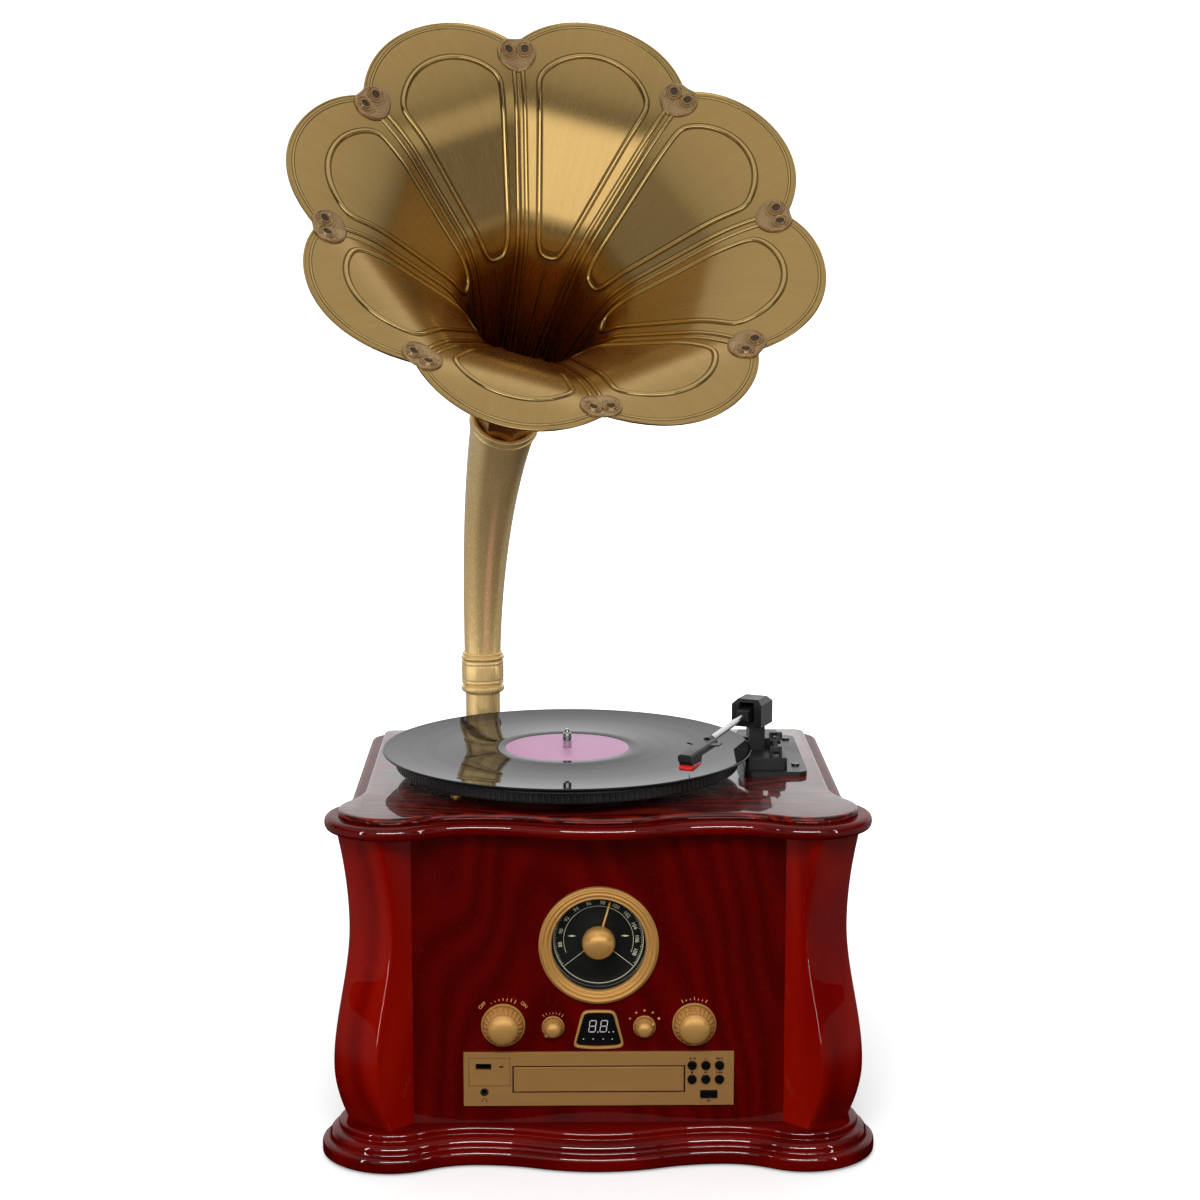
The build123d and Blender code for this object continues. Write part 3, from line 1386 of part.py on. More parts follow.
def on_horn(shape):
    """Turn a shape to the seams' angle and stand it on the horn's axis."""
    return horn_plane().location * Rot(0, 0, SEAM_TURN) * shape


def horn_petals():
    one = Rot(0, 0, 180 / PETALS) * petal()
    turns = [Rot(0, 0, 360 * n / PETALS) * one for n in range(PETALS)]
    return on_horn(turns[0].fuse(*turns[1:]))


def horn_clip():
    """Oval plate across a seam, bent to the horn and cut off near the notch."""
    oval = Pos(HORN_CLIP_AT, 0) * Ellipse(HORN_CLIP_TALL / 2, HORN_CLIP_WIDE / 2)
    oval &= Pos(HORN_CLIP_END - HORN_CLIP_TALL, 0) * Rectangle(2 * HORN_CLIP_TALL, 2 * HORN_CLIP_WIDE)
    leaves = []
    for side in (-1, 1):
        turn = Rot(0, 0, side * 180 / PETALS)
        half = Pos(HORN_CLIP_AT, side * HORN_CLIP_WIDE / 2) * Rectangle(2 * HORN_CLIP_TALL, HORN_CLIP_WIDE)
        leaves.append((turn * petal_layer(0, HORN_CLIP_THICK)) & pillar(oval & half))
    return leaves[0] + leaves[1]


def horn_clips():
    clip = horn_clip()
    return [on_horn(Rot(0, 0, 360 * n / PETALS) * clip) for n in range(PETALS)]


nodes = {
    "base_plinth": base_plinth(),
    "rubber_feet": rubber_feet(),
    "corner_post_left": corner_post(),
    "corner_post_right": mirror(corner_post(), about=Plane.YZ),
    "front_panel": front_panel(),
    "side_panel_left": side_panel(-1),
    "side_panel_right": side_panel(1),
    "rear_panel": rear_panel(),
    "black_screws": black_screws(),
    "top_moulding": top_moulding(),
    "deck_panel": deck_panel(),
    "speaker_grilles": speaker_grilles(),
    "speaker_drivers": speaker_drivers(),
    "main_board": main_board(),
    "socket_plate": socket_plate(),
    "motor": motor(),
    "spindle_bearing": spindle_bearing(),
    "drive_belt": drive_belt(),
    "deck_screw": deck_screw(),
    "dial_bezel": dial_bezel(),
    "dial_face": dial_face(),
    "display_frame": display_frame(),
    "display_window": display_window(),
    "faceplate": faceplate(),
    "usb_socket": usb_socket(),
    "headphone_socket": headphone_socket(),
    "knob_collars": knob_collars(),
    "drawer_housing": drawer_housing(),
    "tonearm_base": tonearm_base(),
    "pipe_socket": pipe_socket(),
    "motor_pulley": motor_pulley(),
    "platter": platter(),
    "platter_mat": platter_mat(),
    "record": record(),
    "spindle": spindle(),
    "arm_turret": arm_turret(),
    "arm_block": arm_block(),
    "arm_tube": arm_tube(),
    "headshell": headshell(),
    "cartridge": cartridge(),
    "stylus": stylus(),
    "cue_lifter": cue_lifter(),
    "arm_clip": arm_clip(),
    "dial_pointer": dial_pointer(),
    "dial_cap": dial_cap(),
    "volume_knob": large_knob(-KNOB_X),
    "tuning_knob": large_knob(KNOB_X),
    "tone_knob": small_knob(-SMALL_KNOB_X, TONE_AIM),
    "selector_knob": small_knob(SMALL_KNOB_X, SELECTOR_AIM),
    "disc_drawer": disc_drawer(),
    "eject_button": eject_button(),
    "elbow_pipe": elbow_pipe(),
    "horn_petals": horn_petals(),
    "horn_clips": horn_clips(),
}
for name, (x, z) in button_places().items():
    nodes[name + "_button"] = round_button(x, z)

os.makedirs("parts", exist_ok=True)
for name, shape in nodes.items():
    if isinstance(shape, list):
        shape = Compound(shape)
    export_step(shape, "parts/" + name + ".step")
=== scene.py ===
# %% [markdown]
# # A red record player with a brass flower horn
# The real thing is a lacquered wooden cabinet with a turntable on top, a radio dial and a
# disc drawer in front, and an eight-petal horn on a bent pipe. Its sizes and joints are
# already settled in a solid model. This lesson loads that model as a fixed frame, gives
# every piece its finish, and puts finer skins over the pieces whose beads, ribs and lines
# the solids leave plain. Because all is in one frame, nothing has to be fitted by eye.

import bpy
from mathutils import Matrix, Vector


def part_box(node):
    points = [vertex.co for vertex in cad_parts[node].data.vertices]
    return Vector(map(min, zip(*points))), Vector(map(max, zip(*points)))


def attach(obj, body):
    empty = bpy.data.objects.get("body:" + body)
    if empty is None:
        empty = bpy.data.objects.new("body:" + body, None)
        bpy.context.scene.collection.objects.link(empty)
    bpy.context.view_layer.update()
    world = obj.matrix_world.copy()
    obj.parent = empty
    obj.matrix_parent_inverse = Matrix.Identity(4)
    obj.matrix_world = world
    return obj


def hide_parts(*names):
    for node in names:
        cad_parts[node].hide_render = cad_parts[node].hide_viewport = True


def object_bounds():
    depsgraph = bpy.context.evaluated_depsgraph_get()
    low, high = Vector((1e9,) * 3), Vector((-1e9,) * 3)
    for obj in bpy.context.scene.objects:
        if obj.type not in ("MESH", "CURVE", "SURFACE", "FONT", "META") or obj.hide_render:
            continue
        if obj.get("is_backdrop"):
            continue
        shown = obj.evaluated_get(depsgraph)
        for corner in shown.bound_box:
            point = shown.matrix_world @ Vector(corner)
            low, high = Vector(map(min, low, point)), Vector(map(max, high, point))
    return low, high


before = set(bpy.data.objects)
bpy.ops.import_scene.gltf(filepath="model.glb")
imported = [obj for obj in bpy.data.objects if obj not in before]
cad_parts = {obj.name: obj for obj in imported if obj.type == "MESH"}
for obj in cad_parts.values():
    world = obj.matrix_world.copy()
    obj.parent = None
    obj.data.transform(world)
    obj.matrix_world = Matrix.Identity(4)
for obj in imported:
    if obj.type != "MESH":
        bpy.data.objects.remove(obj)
cad_box = [list(corner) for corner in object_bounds()]

import math

import bmesh
import bpy
from mathutils import Matrix, Vector

MM = 0.001

# %% [markdown]
# ## Rows of points become a skin
# Nearly every piece here is either turned on a lathe or run along an edge with a moulding
# cutter. Both are the same to a modeller: a row of points, repeated and joined to the next
# row with four-sided faces. One could stack primitives and bevel them, but then each bead
# would be a separate fight. A profile drawn as a list of corners is quicker to change.

# %% Skins from rows of points
def skin(rows, ring=True, cap_first=False, cap_last=False):
    """Join rows of points to one another with quads, as (points, faces)."""
    wide = len(rows[0])
    points = [point for row in rows for point in row]
    faces = []
    for n in range(len(rows) - 1):
        for m in range(wide if ring else wide - 1):
            a, b = n * wide + m, n * wide + (m + 1) % wide
            faces.append((a, b, b + wide, a + wide))
    if cap_first:
        faces.append(tuple(range(wide))[::-1])
    if cap_last:
        faces.append(tuple(range(len(points) - wide, len(points))))
    return points, faces


def eased(corners, radius, closed=False, steps=4):
    """Corners of an outline, each one rounded off by about radius."""
    corners = [Vector(corner) for corner in corners]
    count = len(corners)
    points = []
    for n, corner in enumerate(corners):
        if not closed and n in (0, count - 1):
            points.append(corner)
            continue
        before, after = corners[n - 1] - corner, corners[(n + 1) % count] - corner
        reach = min(radius, before.length * 0.49, after.length * 0.49)
        start = corner + before.normalized() * reach
        finish = corner + after.normalized() * reach
        for k in range(steps + 1):
            t = k / steps
            points.append(start * (1 - t) ** 2 + corner * 2 * t * (1 - t) + finish * t**2)
    return points


print("helpers: skin, eased")

# %% Helpers that join, turn and move shapes
def strip(rows, closed=False):
    """Rows joined to one another only; a closed strip meets its own start."""
    return skin(rows + (rows[:1] if closed else []), ring=False)


def spokes(count):
    """Angles of evenly spaced spokes round a circle."""
    return [math.tau * n / count for n in range(count)]


def turned(profile, steps=96):
    """A lathe: a profile of (radius, height) turned about the Z axis."""
    rows = []
    for a in spokes(steps):
        c, s = math.cos(a), math.sin(a)
        rows.append([Vector((r * c, r * s, z)) for r, z in profile])
    return strip(rows, closed=True)


def together(*shapes):
    """Several shapes as one."""
    points, faces = [], []
    for more, joined in shapes:
        faces += [tuple(n + len(points) for n in face) for face in joined]
        points += more
    return points, faces


def moved(matrix, shape):
    """The shape, moved by a matrix."""
    return [matrix @ Vector(point) for point in shape[0]], shape[1]


print("helpers: strip, spokes, turned, together, moved")

# %% [markdown]
# ## Every piece gets a body, a finish and a place in the frame
# A piece is only useful in this scene when it moves with the right body, so the function
# that makes a mesh also parents it to the body that carries it and hides the solid it stands for.
# Points come in millimetres, because that is how a maker measures, and are stored in metres.

# %% One function makes every mesh piece
made_pieces = []
SAME_POINT, NO_LENGTH = 2e-6, 1e-6


def piece(name, shape, body, finish, replaces=(), crease=38):
    """A mesh in millimetres, smooth except at creases, that rides on a body."""
    mesh = bpy.data.meshes.new(name)
    mesh.from_pydata([Vector(point) * MM for point in shape[0]], [], shape[1])
    build = bmesh.new()
    build.from_mesh(mesh)
    bmesh.ops.remove_doubles(build, verts=build.verts, dist=SAME_POINT)
    bmesh.ops.dissolve_degenerate(build, edges=build.edges, dist=NO_LENGTH)
    bmesh.ops.recalc_face_normals(build, faces=build.faces)
    build.to_mesh(mesh)
    build.free()
    mesh.shade_smooth()
    mesh.set_sharp_from_angle(angle=math.radians(crease))
    mesh.materials.append(finish)
    made = bpy.data.objects.new(name, mesh)
    bpy.context.scene.collection.objects.link(made)
    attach(made, body)
    if replaces:
        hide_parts(*replaces)
    made_pieces.append(name)
    return made


def refinish(finish, slot, *nodes):
    """Give solids that keep their shape a finish of their own."""
    for node in nodes:
        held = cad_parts[node]
        held.data.materials.clear()
        held.data.materials.append(finish)


print("helpers: piece, refinish")

# %% [markdown]
# ## Effects that several finishes share
# Brushed metal, wood figure and handling marks turn up on many pieces at different scales.
# Each effect is a node group with named inputs, made once. A group only puts out masks and
# heights; the shader that turns them into lacquer or brass stays in the material.

# %% A helper for node groups
def effect(name, inputs, outputs):
    """An empty shader group with float or vector inputs and float outputs."""
    group = bpy.data.node_groups.new(name, "ShaderNodeTree")
    for label, kind, value in inputs:
        socket = group.interface.new_socket(label, in_out="INPUT", socket_type=kind)
        if kind == "NodeSocketFloat":
            socket.default_value = value
    for label in outputs:
        group.interface.new_socket(label, in_out="OUTPUT", socket_type="NodeSocketFloat")
    return group, group.nodes.new("NodeGroupInput"), group.nodes.new("NodeGroupOutput")


def sums(tree, operation, first, second=None, clamp=False):
    """A maths node in a tree; each operand is a socket or a number."""
    node = tree.nodes.new("ShaderNodeMath")
    node.operation = operation
    node.use_clamp = clamp
    for socket, value in zip(node.inputs, (first, second)):
        if isinstance(value, (int, float)):
            socket.default_value = value
        elif value is not None:
            tree.links.new(value, socket)
    return node.outputs[0]


print("helpers: effect, sums")

# %% Helpers that stretch, roughen and remap inside a node group
def stretched(tree, vector, scale, turn=(0, 0, 0), shift=(0, 0, 0)):
    """The vector, shifted, turned and scaled by a mapping node."""
    node = tree.nodes.new("ShaderNodeMapping")
    node.inputs["Location"].default_value = shift
    node.inputs["Rotation"].default_value = turn
    node.inputs["Scale"].default_value = scale
    tree.links.new(vector, node.inputs["Vector"])
    return node.outputs[0]


def noise(tree, vector, scale, detail=3.0, rough=0.55):
    """A noise texture's value over a vector."""
    node = tree.nodes.new("ShaderNodeTexNoise")
    node.inputs["Detail"].default_value = detail
    node.inputs["Roughness"].default_value = rough
    if isinstance(scale, (int, float)):
        node.inputs["Scale"].default_value = scale
    else:
        tree.links.new(scale, node.inputs["Scale"])
    tree.links.new(vector, node.inputs["Vector"])
    return node.outputs[0]


def between(tree, value, low, high, to_low=0.0, to_high=1.0):
    """A value mapped from one range to another, smoothly and clamped."""
    node = tree.nodes.new("ShaderNodeMapRange")
    node.interpolation_type = "SMOOTHSTEP"
    for label, number in zip(
        ("From Min", "From Max", "To Min", "To Max"), (low, high, to_low, to_high),
    ):
        node.inputs[label].default_value = number
    tree.links.new(value, node.inputs["Value"])
    return node.outputs[0]


def from_axis(tree, parts):
    """Distance from the Z axis, from a vector's separated parts."""
    squares = [sums(tree, "POWER", parts.outputs[axis], 2.0) for axis in "XY"]
    return sums(tree, "SQRT", sums(tree, "ADD", *squares))


print("helpers: stretched, noise, between, from_axis")

# %% Brushed metal, wood figure, and handling marks
brushed, given, out = effect(
    "brushed lines",
    [("Vector", "NodeSocketVector", None), ("Fineness", "NodeSocketFloat", 400.0)],
    ["Lines", "Cloud"],
)
fine = noise(brushed, given.outputs["Vector"], given.outputs["Fineness"], 5.0, 0.65)
coarse = sums(brushed, "MULTIPLY", given.outputs["Fineness"], 0.04)
cloud = noise(brushed, given.outputs["Vector"], coarse, 2.0)
brushed.links.new(between(brushed, fine, 0.3, 0.7), out.inputs["Lines"])
brushed.links.new(cloud, out.inputs["Cloud"])

figure, given, out = effect(
    "wood figure",
    [
        ("Vector", "NodeSocketVector", None),
        ("Rings", "NodeSocketFloat", 60.0),
        ("Pore size", "NodeSocketFloat", 900.0),
    ],
    ["Figure", "Pores", "Board"],
)
wander = noise(figure, stretched(figure, given.outputs["Vector"], (9, 9, 2.2)), 1.0, 2.0)
parts = figure.nodes.new("ShaderNodeSeparateXYZ")
figure.links.new(given.outputs["Vector"], parts.inputs[0])
WANDER = 0.11
uneven = sums(figure, "ADD", from_axis(figure, parts), sums(figure, "MULTIPLY", wander, WANDER))
ring = sums(figure, "MULTIPLY", uneven, given.outputs["Rings"])
wave = sums(figure, "PINGPONG", ring, 0.5)
figure.links.new(between(figure, wave, 0.02, 0.46), out.inputs["Figure"])
long_cells = stretched(figure, given.outputs["Vector"], (1, 1, 0.045))
pore = noise(figure, long_cells, given.outputs["Pore size"], 2.0, 0.7)
figure.links.new(between(figure, pore, 0.58, 0.72), out.inputs["Pores"])
wide_shade = stretched(figure, given.outputs["Vector"], (1, 1, 0.12))
figure.links.new(noise(figure, wide_shade, 28.0), out.inputs["Board"])

marks, given, out = effect(
    "handling marks",
    [("Vector", "NodeSocketVector", None), ("Scale", "NodeSocketFloat", 18.0)],
    ["Smudge", "Dust"],
)
smudge = noise(marks, given.outputs["Vector"], given.outputs["Scale"], 4.0, 0.6)
close = sums(marks, "MULTIPLY", given.outputs["Scale"], 60.0)
grit = noise(marks, given.outputs["Vector"], close, 2.0, 0.5)
marks.links.new(between(marks, smudge, 0.35, 0.7), out.inputs["Smudge"])
marks.links.new(between(marks, grit, 0.66, 0.78), out.inputs["Dust"])
print("shared effects:", [group.name for group in bpy.data.node_groups])


# %% A blank finish
def finish(name, metallic=0.0, coat=0.0, coat_rough=0.03, specular=0.5):
    """A new material with its shader, and Object coordinates for its textures."""
    material = bpy.data.materials.new(name)
    material.use_nodes = True
    tree = material.node_tree
    shader = tree.nodes["Principled BSDF"]
    shader.inputs["Metallic"].default_value = metallic
    shader.inputs["Coat Weight"].default_value = coat
    shader.inputs["Coat Roughness"].default_value = coat_rough
    shader.inputs["Specular IOR Level"].default_value = specular
    where = tree.nodes.new("ShaderNodeTexCoord")
    return material, tree, shader, where.outputs["Object"]


print("helpers: finish")

# %% Helpers that wire a finish
def use(tree, group, vector, **settings):
    """Place a shared effect in a material, with its own values."""
    node = tree.nodes.new("ShaderNodeGroup")
    node.node_tree = group
    tree.links.new(vector, node.inputs["Vector"])
    for label, value in settings.items():
        node.inputs[label.replace("_", " ")].default_value = value
    return node.outputs


def shades(tree, value, *stops):
    """A colour ramp: stops are (position, (red, green, blue))."""
    node = tree.nodes.new("ShaderNodeValToRGB")
    ramp = node.color_ramp
    while len(ramp.elements) < len(stops):
        ramp.elements.new(0.5)
    for element, (position, colour) in zip(ramp.elements, stops):
        element.position = position
        element.color = (*colour, 1)
    tree.links.new(value, node.inputs[0])
    return node.outputs[0]


def blended(tree, amount, first, second, kind="MIX"):
    """Mix two colours; each is a socket or a plain (red, green, blue)."""
    node = tree.nodes.new("ShaderNodeMix")
    node.data_type = "RGBA"
    node.blend_type = kind
    slots = [s for s in node.inputs if s.type == "RGBA"]
    for socket, value in zip(slots, (first, second)):
        if isinstance(value, tuple):
            socket.default_value = (*value, 1)
        else:
            tree.links.new(value, socket)
    if isinstance(amount, (int, float)):
        node.inputs[0].default_value = amount
    else:
        tree.links.new(amount, node.inputs[0])
    return [s for s in node.outputs if s.type == "RGBA"][0]


def relief(tree, shader, height, strength, distance=0.0004):
    """Bump from a height that varies over the surface."""
    node = tree.nodes.new("ShaderNodeBump")
    node.inputs["Strength"].default_value = strength
    node.inputs["Distance"].default_value = distance
    tree.links.new(height, node.inputs["Height"])
    tree.links.new(node.outputs[0], shader.inputs["Normal"])


print("helpers: use, shades, blended, relief")

# %% [markdown]
# ## Red lacquer over wood
# The cabinet is veneered wood, stained deep red and sprayed with a clear gloss coat. What one
# sees is three layers: a dark red ground with tall pointed figure, fine orange pores where
# the stain sat in the grain, and a mirror-smooth coat that catches the studio's soft boxes.
# The figure comes from rings round a slanted trunk that the board's face cuts through. A
# flat image of wood would repeat on every board; a trunk with its own place for each board
# can't.

# %% One lacquer, whose trunk can be turned for each board
SHADOW_RED, NO_TINT, PORE_ORANGE = (0.82, 0.7, 0.7), (1.0, 1.0, 1.0), (0.42, 0.055, 0.012)
PORES_PER_METRE, MIRROR_SMOOTH = 1150.0, 0.015


def lacquer(name, turn, shift, rings, ground, warm, pores=0.35, coat=0.8, specular=0.05, depth=0.12):
    """Red lacquered wood whose trunk lies along Z of the turned coordinates."""
    material, tree, shader, where = finish(name, 0.0, coat, MIRROR_SMOOTH, specular)
    trunk = stretched(tree, where, (1, 1, 1), turn, shift)
    wood = use(tree, figure, trunk, Rings=rings, Pore_size=PORES_PER_METRE)
    middle = tuple(c * 1.2 for c in ground)
    body = shades(tree, wood["Figure"], (0.0, ground), (0.45, middle), (1.0, warm))
    board = blended(tree, between(tree, wood["Board"], 0.3, 0.7), SHADOW_RED, NO_TINT)
    toned = blended(tree, 1.0, body, board, "MULTIPLY")
    grain = sums(tree, "MULTIPLY", wood["Pores"], pores)
    tree.links.new(blended(tree, grain, toned, PORE_ORANGE), shader.inputs["Base Color"])
    worn = use(tree, marks, where, Scale=14.0)
    tree.links.new(between(tree, worn["Smudge"], 0.0, 1.0, 0.3, 0.42), shader.inputs["Roughness"])
    relief(tree, shader, wood["Pores"], depth, 0.0002)
    return material


print("helpers: lacquer")

# %% A lacquer for each set of boards: turn and shift place the trunk, rings are per metre
ACROSS_GRAIN = math.pi / 2
front_lacquer = lacquer(
    "front lacquer", turn=(0.3, 0.03, 0), shift=(0.02, 0.1, 0.0), rings=55.0,
    ground=(0.058, 0.0002, 0.0001), warm=(0.085, 0.0006, 0.0002), pores=0.12,
)
side_lacquer = lacquer(
    "side lacquer", turn=(0.0, 0.08, 0.0), shift=(0.12, 0.0, 0.0), rings=42.0,
    ground=(0.085, 0.0004, 0.0002), warm=(0.125, 0.0012, 0.0004),
)
deck_lacquer = lacquer(
    "deck lacquer", turn=(0.0, ACROSS_GRAIN + 0.03, 0.0), shift=(0.24, 0.02, 0), rings=190.0,
    ground=(0.04, 0.001, 0.0008), warm=(0.15, 0.006, 0.002), pores=0.5, depth=0.6,
)
edge_lacquer = lacquer(
    "edge lacquer", turn=(0.0, ACROSS_GRAIN, 0.0), shift=(0.0, 0.3, 0.1), rings=30.0,
    ground=(0.078, 0.0006, 0.0003), warm=(0.125, 0.0014, 0.0005), pores=0.12, coat=0.5, specular=0.0,
)
post_lacquer = lacquer(
    "post lacquer", turn=(0.05, 0.04, 0.3), shift=(0.3, 0.05, 0.0), rings=34.0,
    ground=(0.165, 0.0015, 0.0004), warm=(0.23, 0.004, 0.0008), pores=0.12, coat=0.25, specular=0.0,
)
print("lacquers:", [m.name for m in bpy.data.materials if m.name.endswith("lacquer")])

# %% [markdown]
# ## Brass, bronze and steel
# The horn and pipe are sheet brass, brushed and lacquered a pale gold. Brushing leaves fine
# lines that spread a highlight out across them. The lines are noise squeezed along one
# direction, which moves the roughness and the bump a little, and the colour less.

# %% Brushed and lathe-turned metal
# the first colour is painted shade: the darker amber that the horn's sheets turn to towards the throat
THROAT_PAINTED_SHADE, BRUSH_DEPTH, TURNING_LINES = (0.5, 0.27, 0.07), 0.0001, 1500.0


def metal(name, colour, dark, rough, squeeze, fineness=1.0, depth=0.25, metallic=1.0, uv=False):
    """Brushed metal whose lines run along the axis with the smallest squeeze."""
    material, tree, shader, where = finish(name, metallic=metallic)
    if uv:
        source = tree.nodes.new("ShaderNodeUVMap")
        source.uv_map = "sheet"
        where = source.outputs[0]
    lines = use(tree, brushed, stretched(tree, where, squeeze), Fineness=fineness)
    line_share = sums(tree, "MULTIPLY", lines["Lines"], 0.35)
    mix = sums(tree, "ADD", line_share, sums(tree, "MULTIPLY", lines["Cloud"], 0.65))
    toned = shades(tree, mix, (0.25, dark), (0.7, colour))
    # painted shade: on the horn's sheets the colour darkens to amber towards the throat, where less light
    # falls
    if uv:
        deep = tree.nodes.new("ShaderNodeSeparateXYZ")
        tree.links.new(where, deep.inputs[0])
        out_of_throat_shade = between(tree, deep.outputs["Y"], 0.2, 0.85)
        toned = blended(tree, out_of_throat_shade, THROAT_PAINTED_SHADE, toned)
    tree.links.new(toned, shader.inputs["Base Color"])
    roughness = between(tree, lines["Lines"], 0.0, 1.0, rough * 0.88, rough * 1.15)
    tree.links.new(roughness, shader.inputs["Roughness"])
    relief(tree, shader, lines["Lines"], depth, BRUSH_DEPTH)
    return material


def lathed_metal(name, colour, dark, rough, centre):
    """Metal with fine turning lines round an upright front axis through centre, in metres."""
    material, tree, shader, where = finish(name, metallic=0.6)
    local = stretched(tree, where, (1, 1, 1), (math.pi / 2, 0, 0), tuple(-c for c in centre))
    parts = tree.nodes.new("ShaderNodeSeparateXYZ")
    tree.links.new(local, parts.inputs[0])
    joined = tree.nodes.new("ShaderNodeCombineXYZ")
    tree.links.new(from_axis(tree, parts), joined.inputs["X"])
    tree.links.new(parts.outputs["Z"], joined.inputs["Y"])
    lines = use(tree, brushed, joined.outputs[0], Fineness=TURNING_LINES)
    toned = shades(tree, lines["Cloud"], (0.3, dark), (0.7, colour))
    tree.links.new(toned, shader.inputs["Base Color"])
    roughness = between(tree, lines["Lines"], 0.0, 1.0, rough * 0.96, rough * 1.05)
    tree.links.new(roughness, shader.inputs["Roughness"])
    relief(tree, shader, lines["Lines"], 0.001, BRUSH_DEPTH)
    return material


print("helpers: metal, lathed_metal")

# %% The metals
# light and dark colour, roughness, squeeze per axis, fineness and depth
GOLD, OLD_GOLD = (0.6, 0.4, 0.15), (0.55, 0.355, 0.125)
ALONG_PETAL, DOWN_PIPE, ACROSS_PLATE = (42.0, 0.5, 1.0), (1500.0, 1500.0, 30.0), (30.0, 30.0, 1500.0)
EVEN = (300.0, 300.0, 300.0)
horn_brass = metal("brushed horn brass", GOLD, OLD_GOLD, 0.24, ALONG_PETAL, 14.0, 0.006, uv=True)
# painted highlight: the pressed lines' brass is lighter than the horn's so they read as lit; its lower
# roughness gives them sharper real reflections
painted_highlight_line_brass = metal(
    "line brass with painted highlight", (0.75, 0.53, 0.22), (0.68, 0.47, 0.18), 0.13, ALONG_PETAL,
    14.0, 0.002, uv=True,
)
# painted shade: a dark copy of the horn's brass for the strips at the feet of the pressed lines
line_painted_shade = metal(
    "painted shade line brass", (0.24, 0.15, 0.05), (0.18, 0.11, 0.035), 0.4, ALONG_PETAL,
    14.0, 0.004, uv=True,
)
pipe_brass = metal(
    "brushed pipe brass", (0.92, 0.65, 0.28), (0.8, 0.56, 0.23), 0.24, DOWN_PIPE,
    1.0, 0.006, metallic=0.5,
)
clip_bronze = metal(
    "rose bronze", (0.47, 0.31, 0.15), (0.42, 0.27, 0.13), 0.28, EVEN, 1.0, 0.002, metallic=0.85,
)
plate_bronze = metal(
    "satin bronze plate", (0.43, 0.222, 0.072), (0.38, 0.192, 0.06), 0.42, ACROSS_PLATE,
    1.0, 0.05, metallic=0.45,
)
steel_finish = metal(
    "polished steel", (0.72, 0.72, 0.72), (0.5, 0.5, 0.5), 0.12, (900.0, 900.0, 60.0), 1.0, 0.08,
)
dark_steel_finish = metal("dark steel", (0.2, 0.2, 0.21), (0.1, 0.1, 0.1), 0.35, EVEN, 1.0, 0.2)
bright_brass = lathed_metal(
    "bright brass", (0.77, 0.42, 0.125), (0.69, 0.37, 0.105), 0.25, (0, -0.1738, 0),
)
print("finishes so far:", len(bpy.data.materials))

# %% [markdown]
# ## Plastics, rubber, vinyl and paint
# Moulded black plastic isn't plain black: it has a fine spark-eroded texture and picks up
# dust, so its roughness wanders. Vinyl is the opposite, almost a mirror with rings in it.

# %% Moulded and painted finishes
def moulded(name, colour, light, rough, texture, depth, coat=0.0, scale=24.0):
    """A moulded or painted surface with a fine texture, smudges and a little dust."""
    material, tree, shader, where = finish(name, coat=coat)
    worn = use(tree, marks, where, Scale=scale)
    dusty = sums(tree, "MULTIPLY", worn["Dust"], 0.3)
    tint = sums(tree, "ADD", sums(tree, "MULTIPLY", worn["Smudge"], 0.5), dusty, clamp=True)
    tree.links.new(blended(tree, tint, colour, light), shader.inputs["Base Color"])
    roughness = between(tree, worn["Smudge"], 0.0, 1.0, rough, rough * 1.25)
    tree.links.new(roughness, shader.inputs["Roughness"])
    relief(tree, shader, noise(tree, where, texture, 3.0), depth, 0.0001)
    return material


black_plastic = moulded(
    "moulded black", (0.008, 0.008, 0.008), (0.022, 0.021, 0.02), 0.34, 3500.0, 0.25,
)
gloss_black = moulded("gloss black", (0.003, 0.003, 0.003), (0.006, 0.006, 0.006), 0.12, 900.0, 0.02)
dial_black = moulded("dial black", (0.004, 0.0042, 0.004), (0.008, 0.009, 0.008), 0.3, 2500.0, 0.05)
rubber_black = moulded("matt rubber", (0.012, 0.012, 0.012), (0.03, 0.029, 0.027), 0.7, 1800.0, 0.5)
red_plastic = moulded(
    "bright red plastic", (0.62, 0.012, 0.012), (0.5, 0.01, 0.01), 0.25, 2500.0, 0.08, 0.4,
)
board_green = moulded("board green", (0.01, 0.09, 0.03), (0.02, 0.14, 0.05), 0.4, 700.0, 0.2)
cone_paper = moulded("cone paper", (0.02, 0.02, 0.021), (0.045, 0.043, 0.04), 0.8, 900.0, 0.6)
pale_ink = moulded("pale dial ink", (0.6, 0.58, 0.42), (0.5, 0.48, 0.34), 0.5, 2500.0, 0.03)
gold_ink = moulded("gold panel ink", (0.62, 0.32, 0.1), (0.5, 0.25, 0.08), 0.4, 2500.0, 0.03)
dark_ink = moulded("dark panel ink", (0.03, 0.02, 0.012), (0.05, 0.035, 0.02), 0.5, 2500.0, 0.03)
label_paper = moulded(
    "record label paper", (0.56, 0.27, 0.46), (0.66, 0.36, 0.55), 0.45, 1600.0, 0.15, 0.0, 40.0,
)
print("finishes so far:", len(bpy.data.materials))

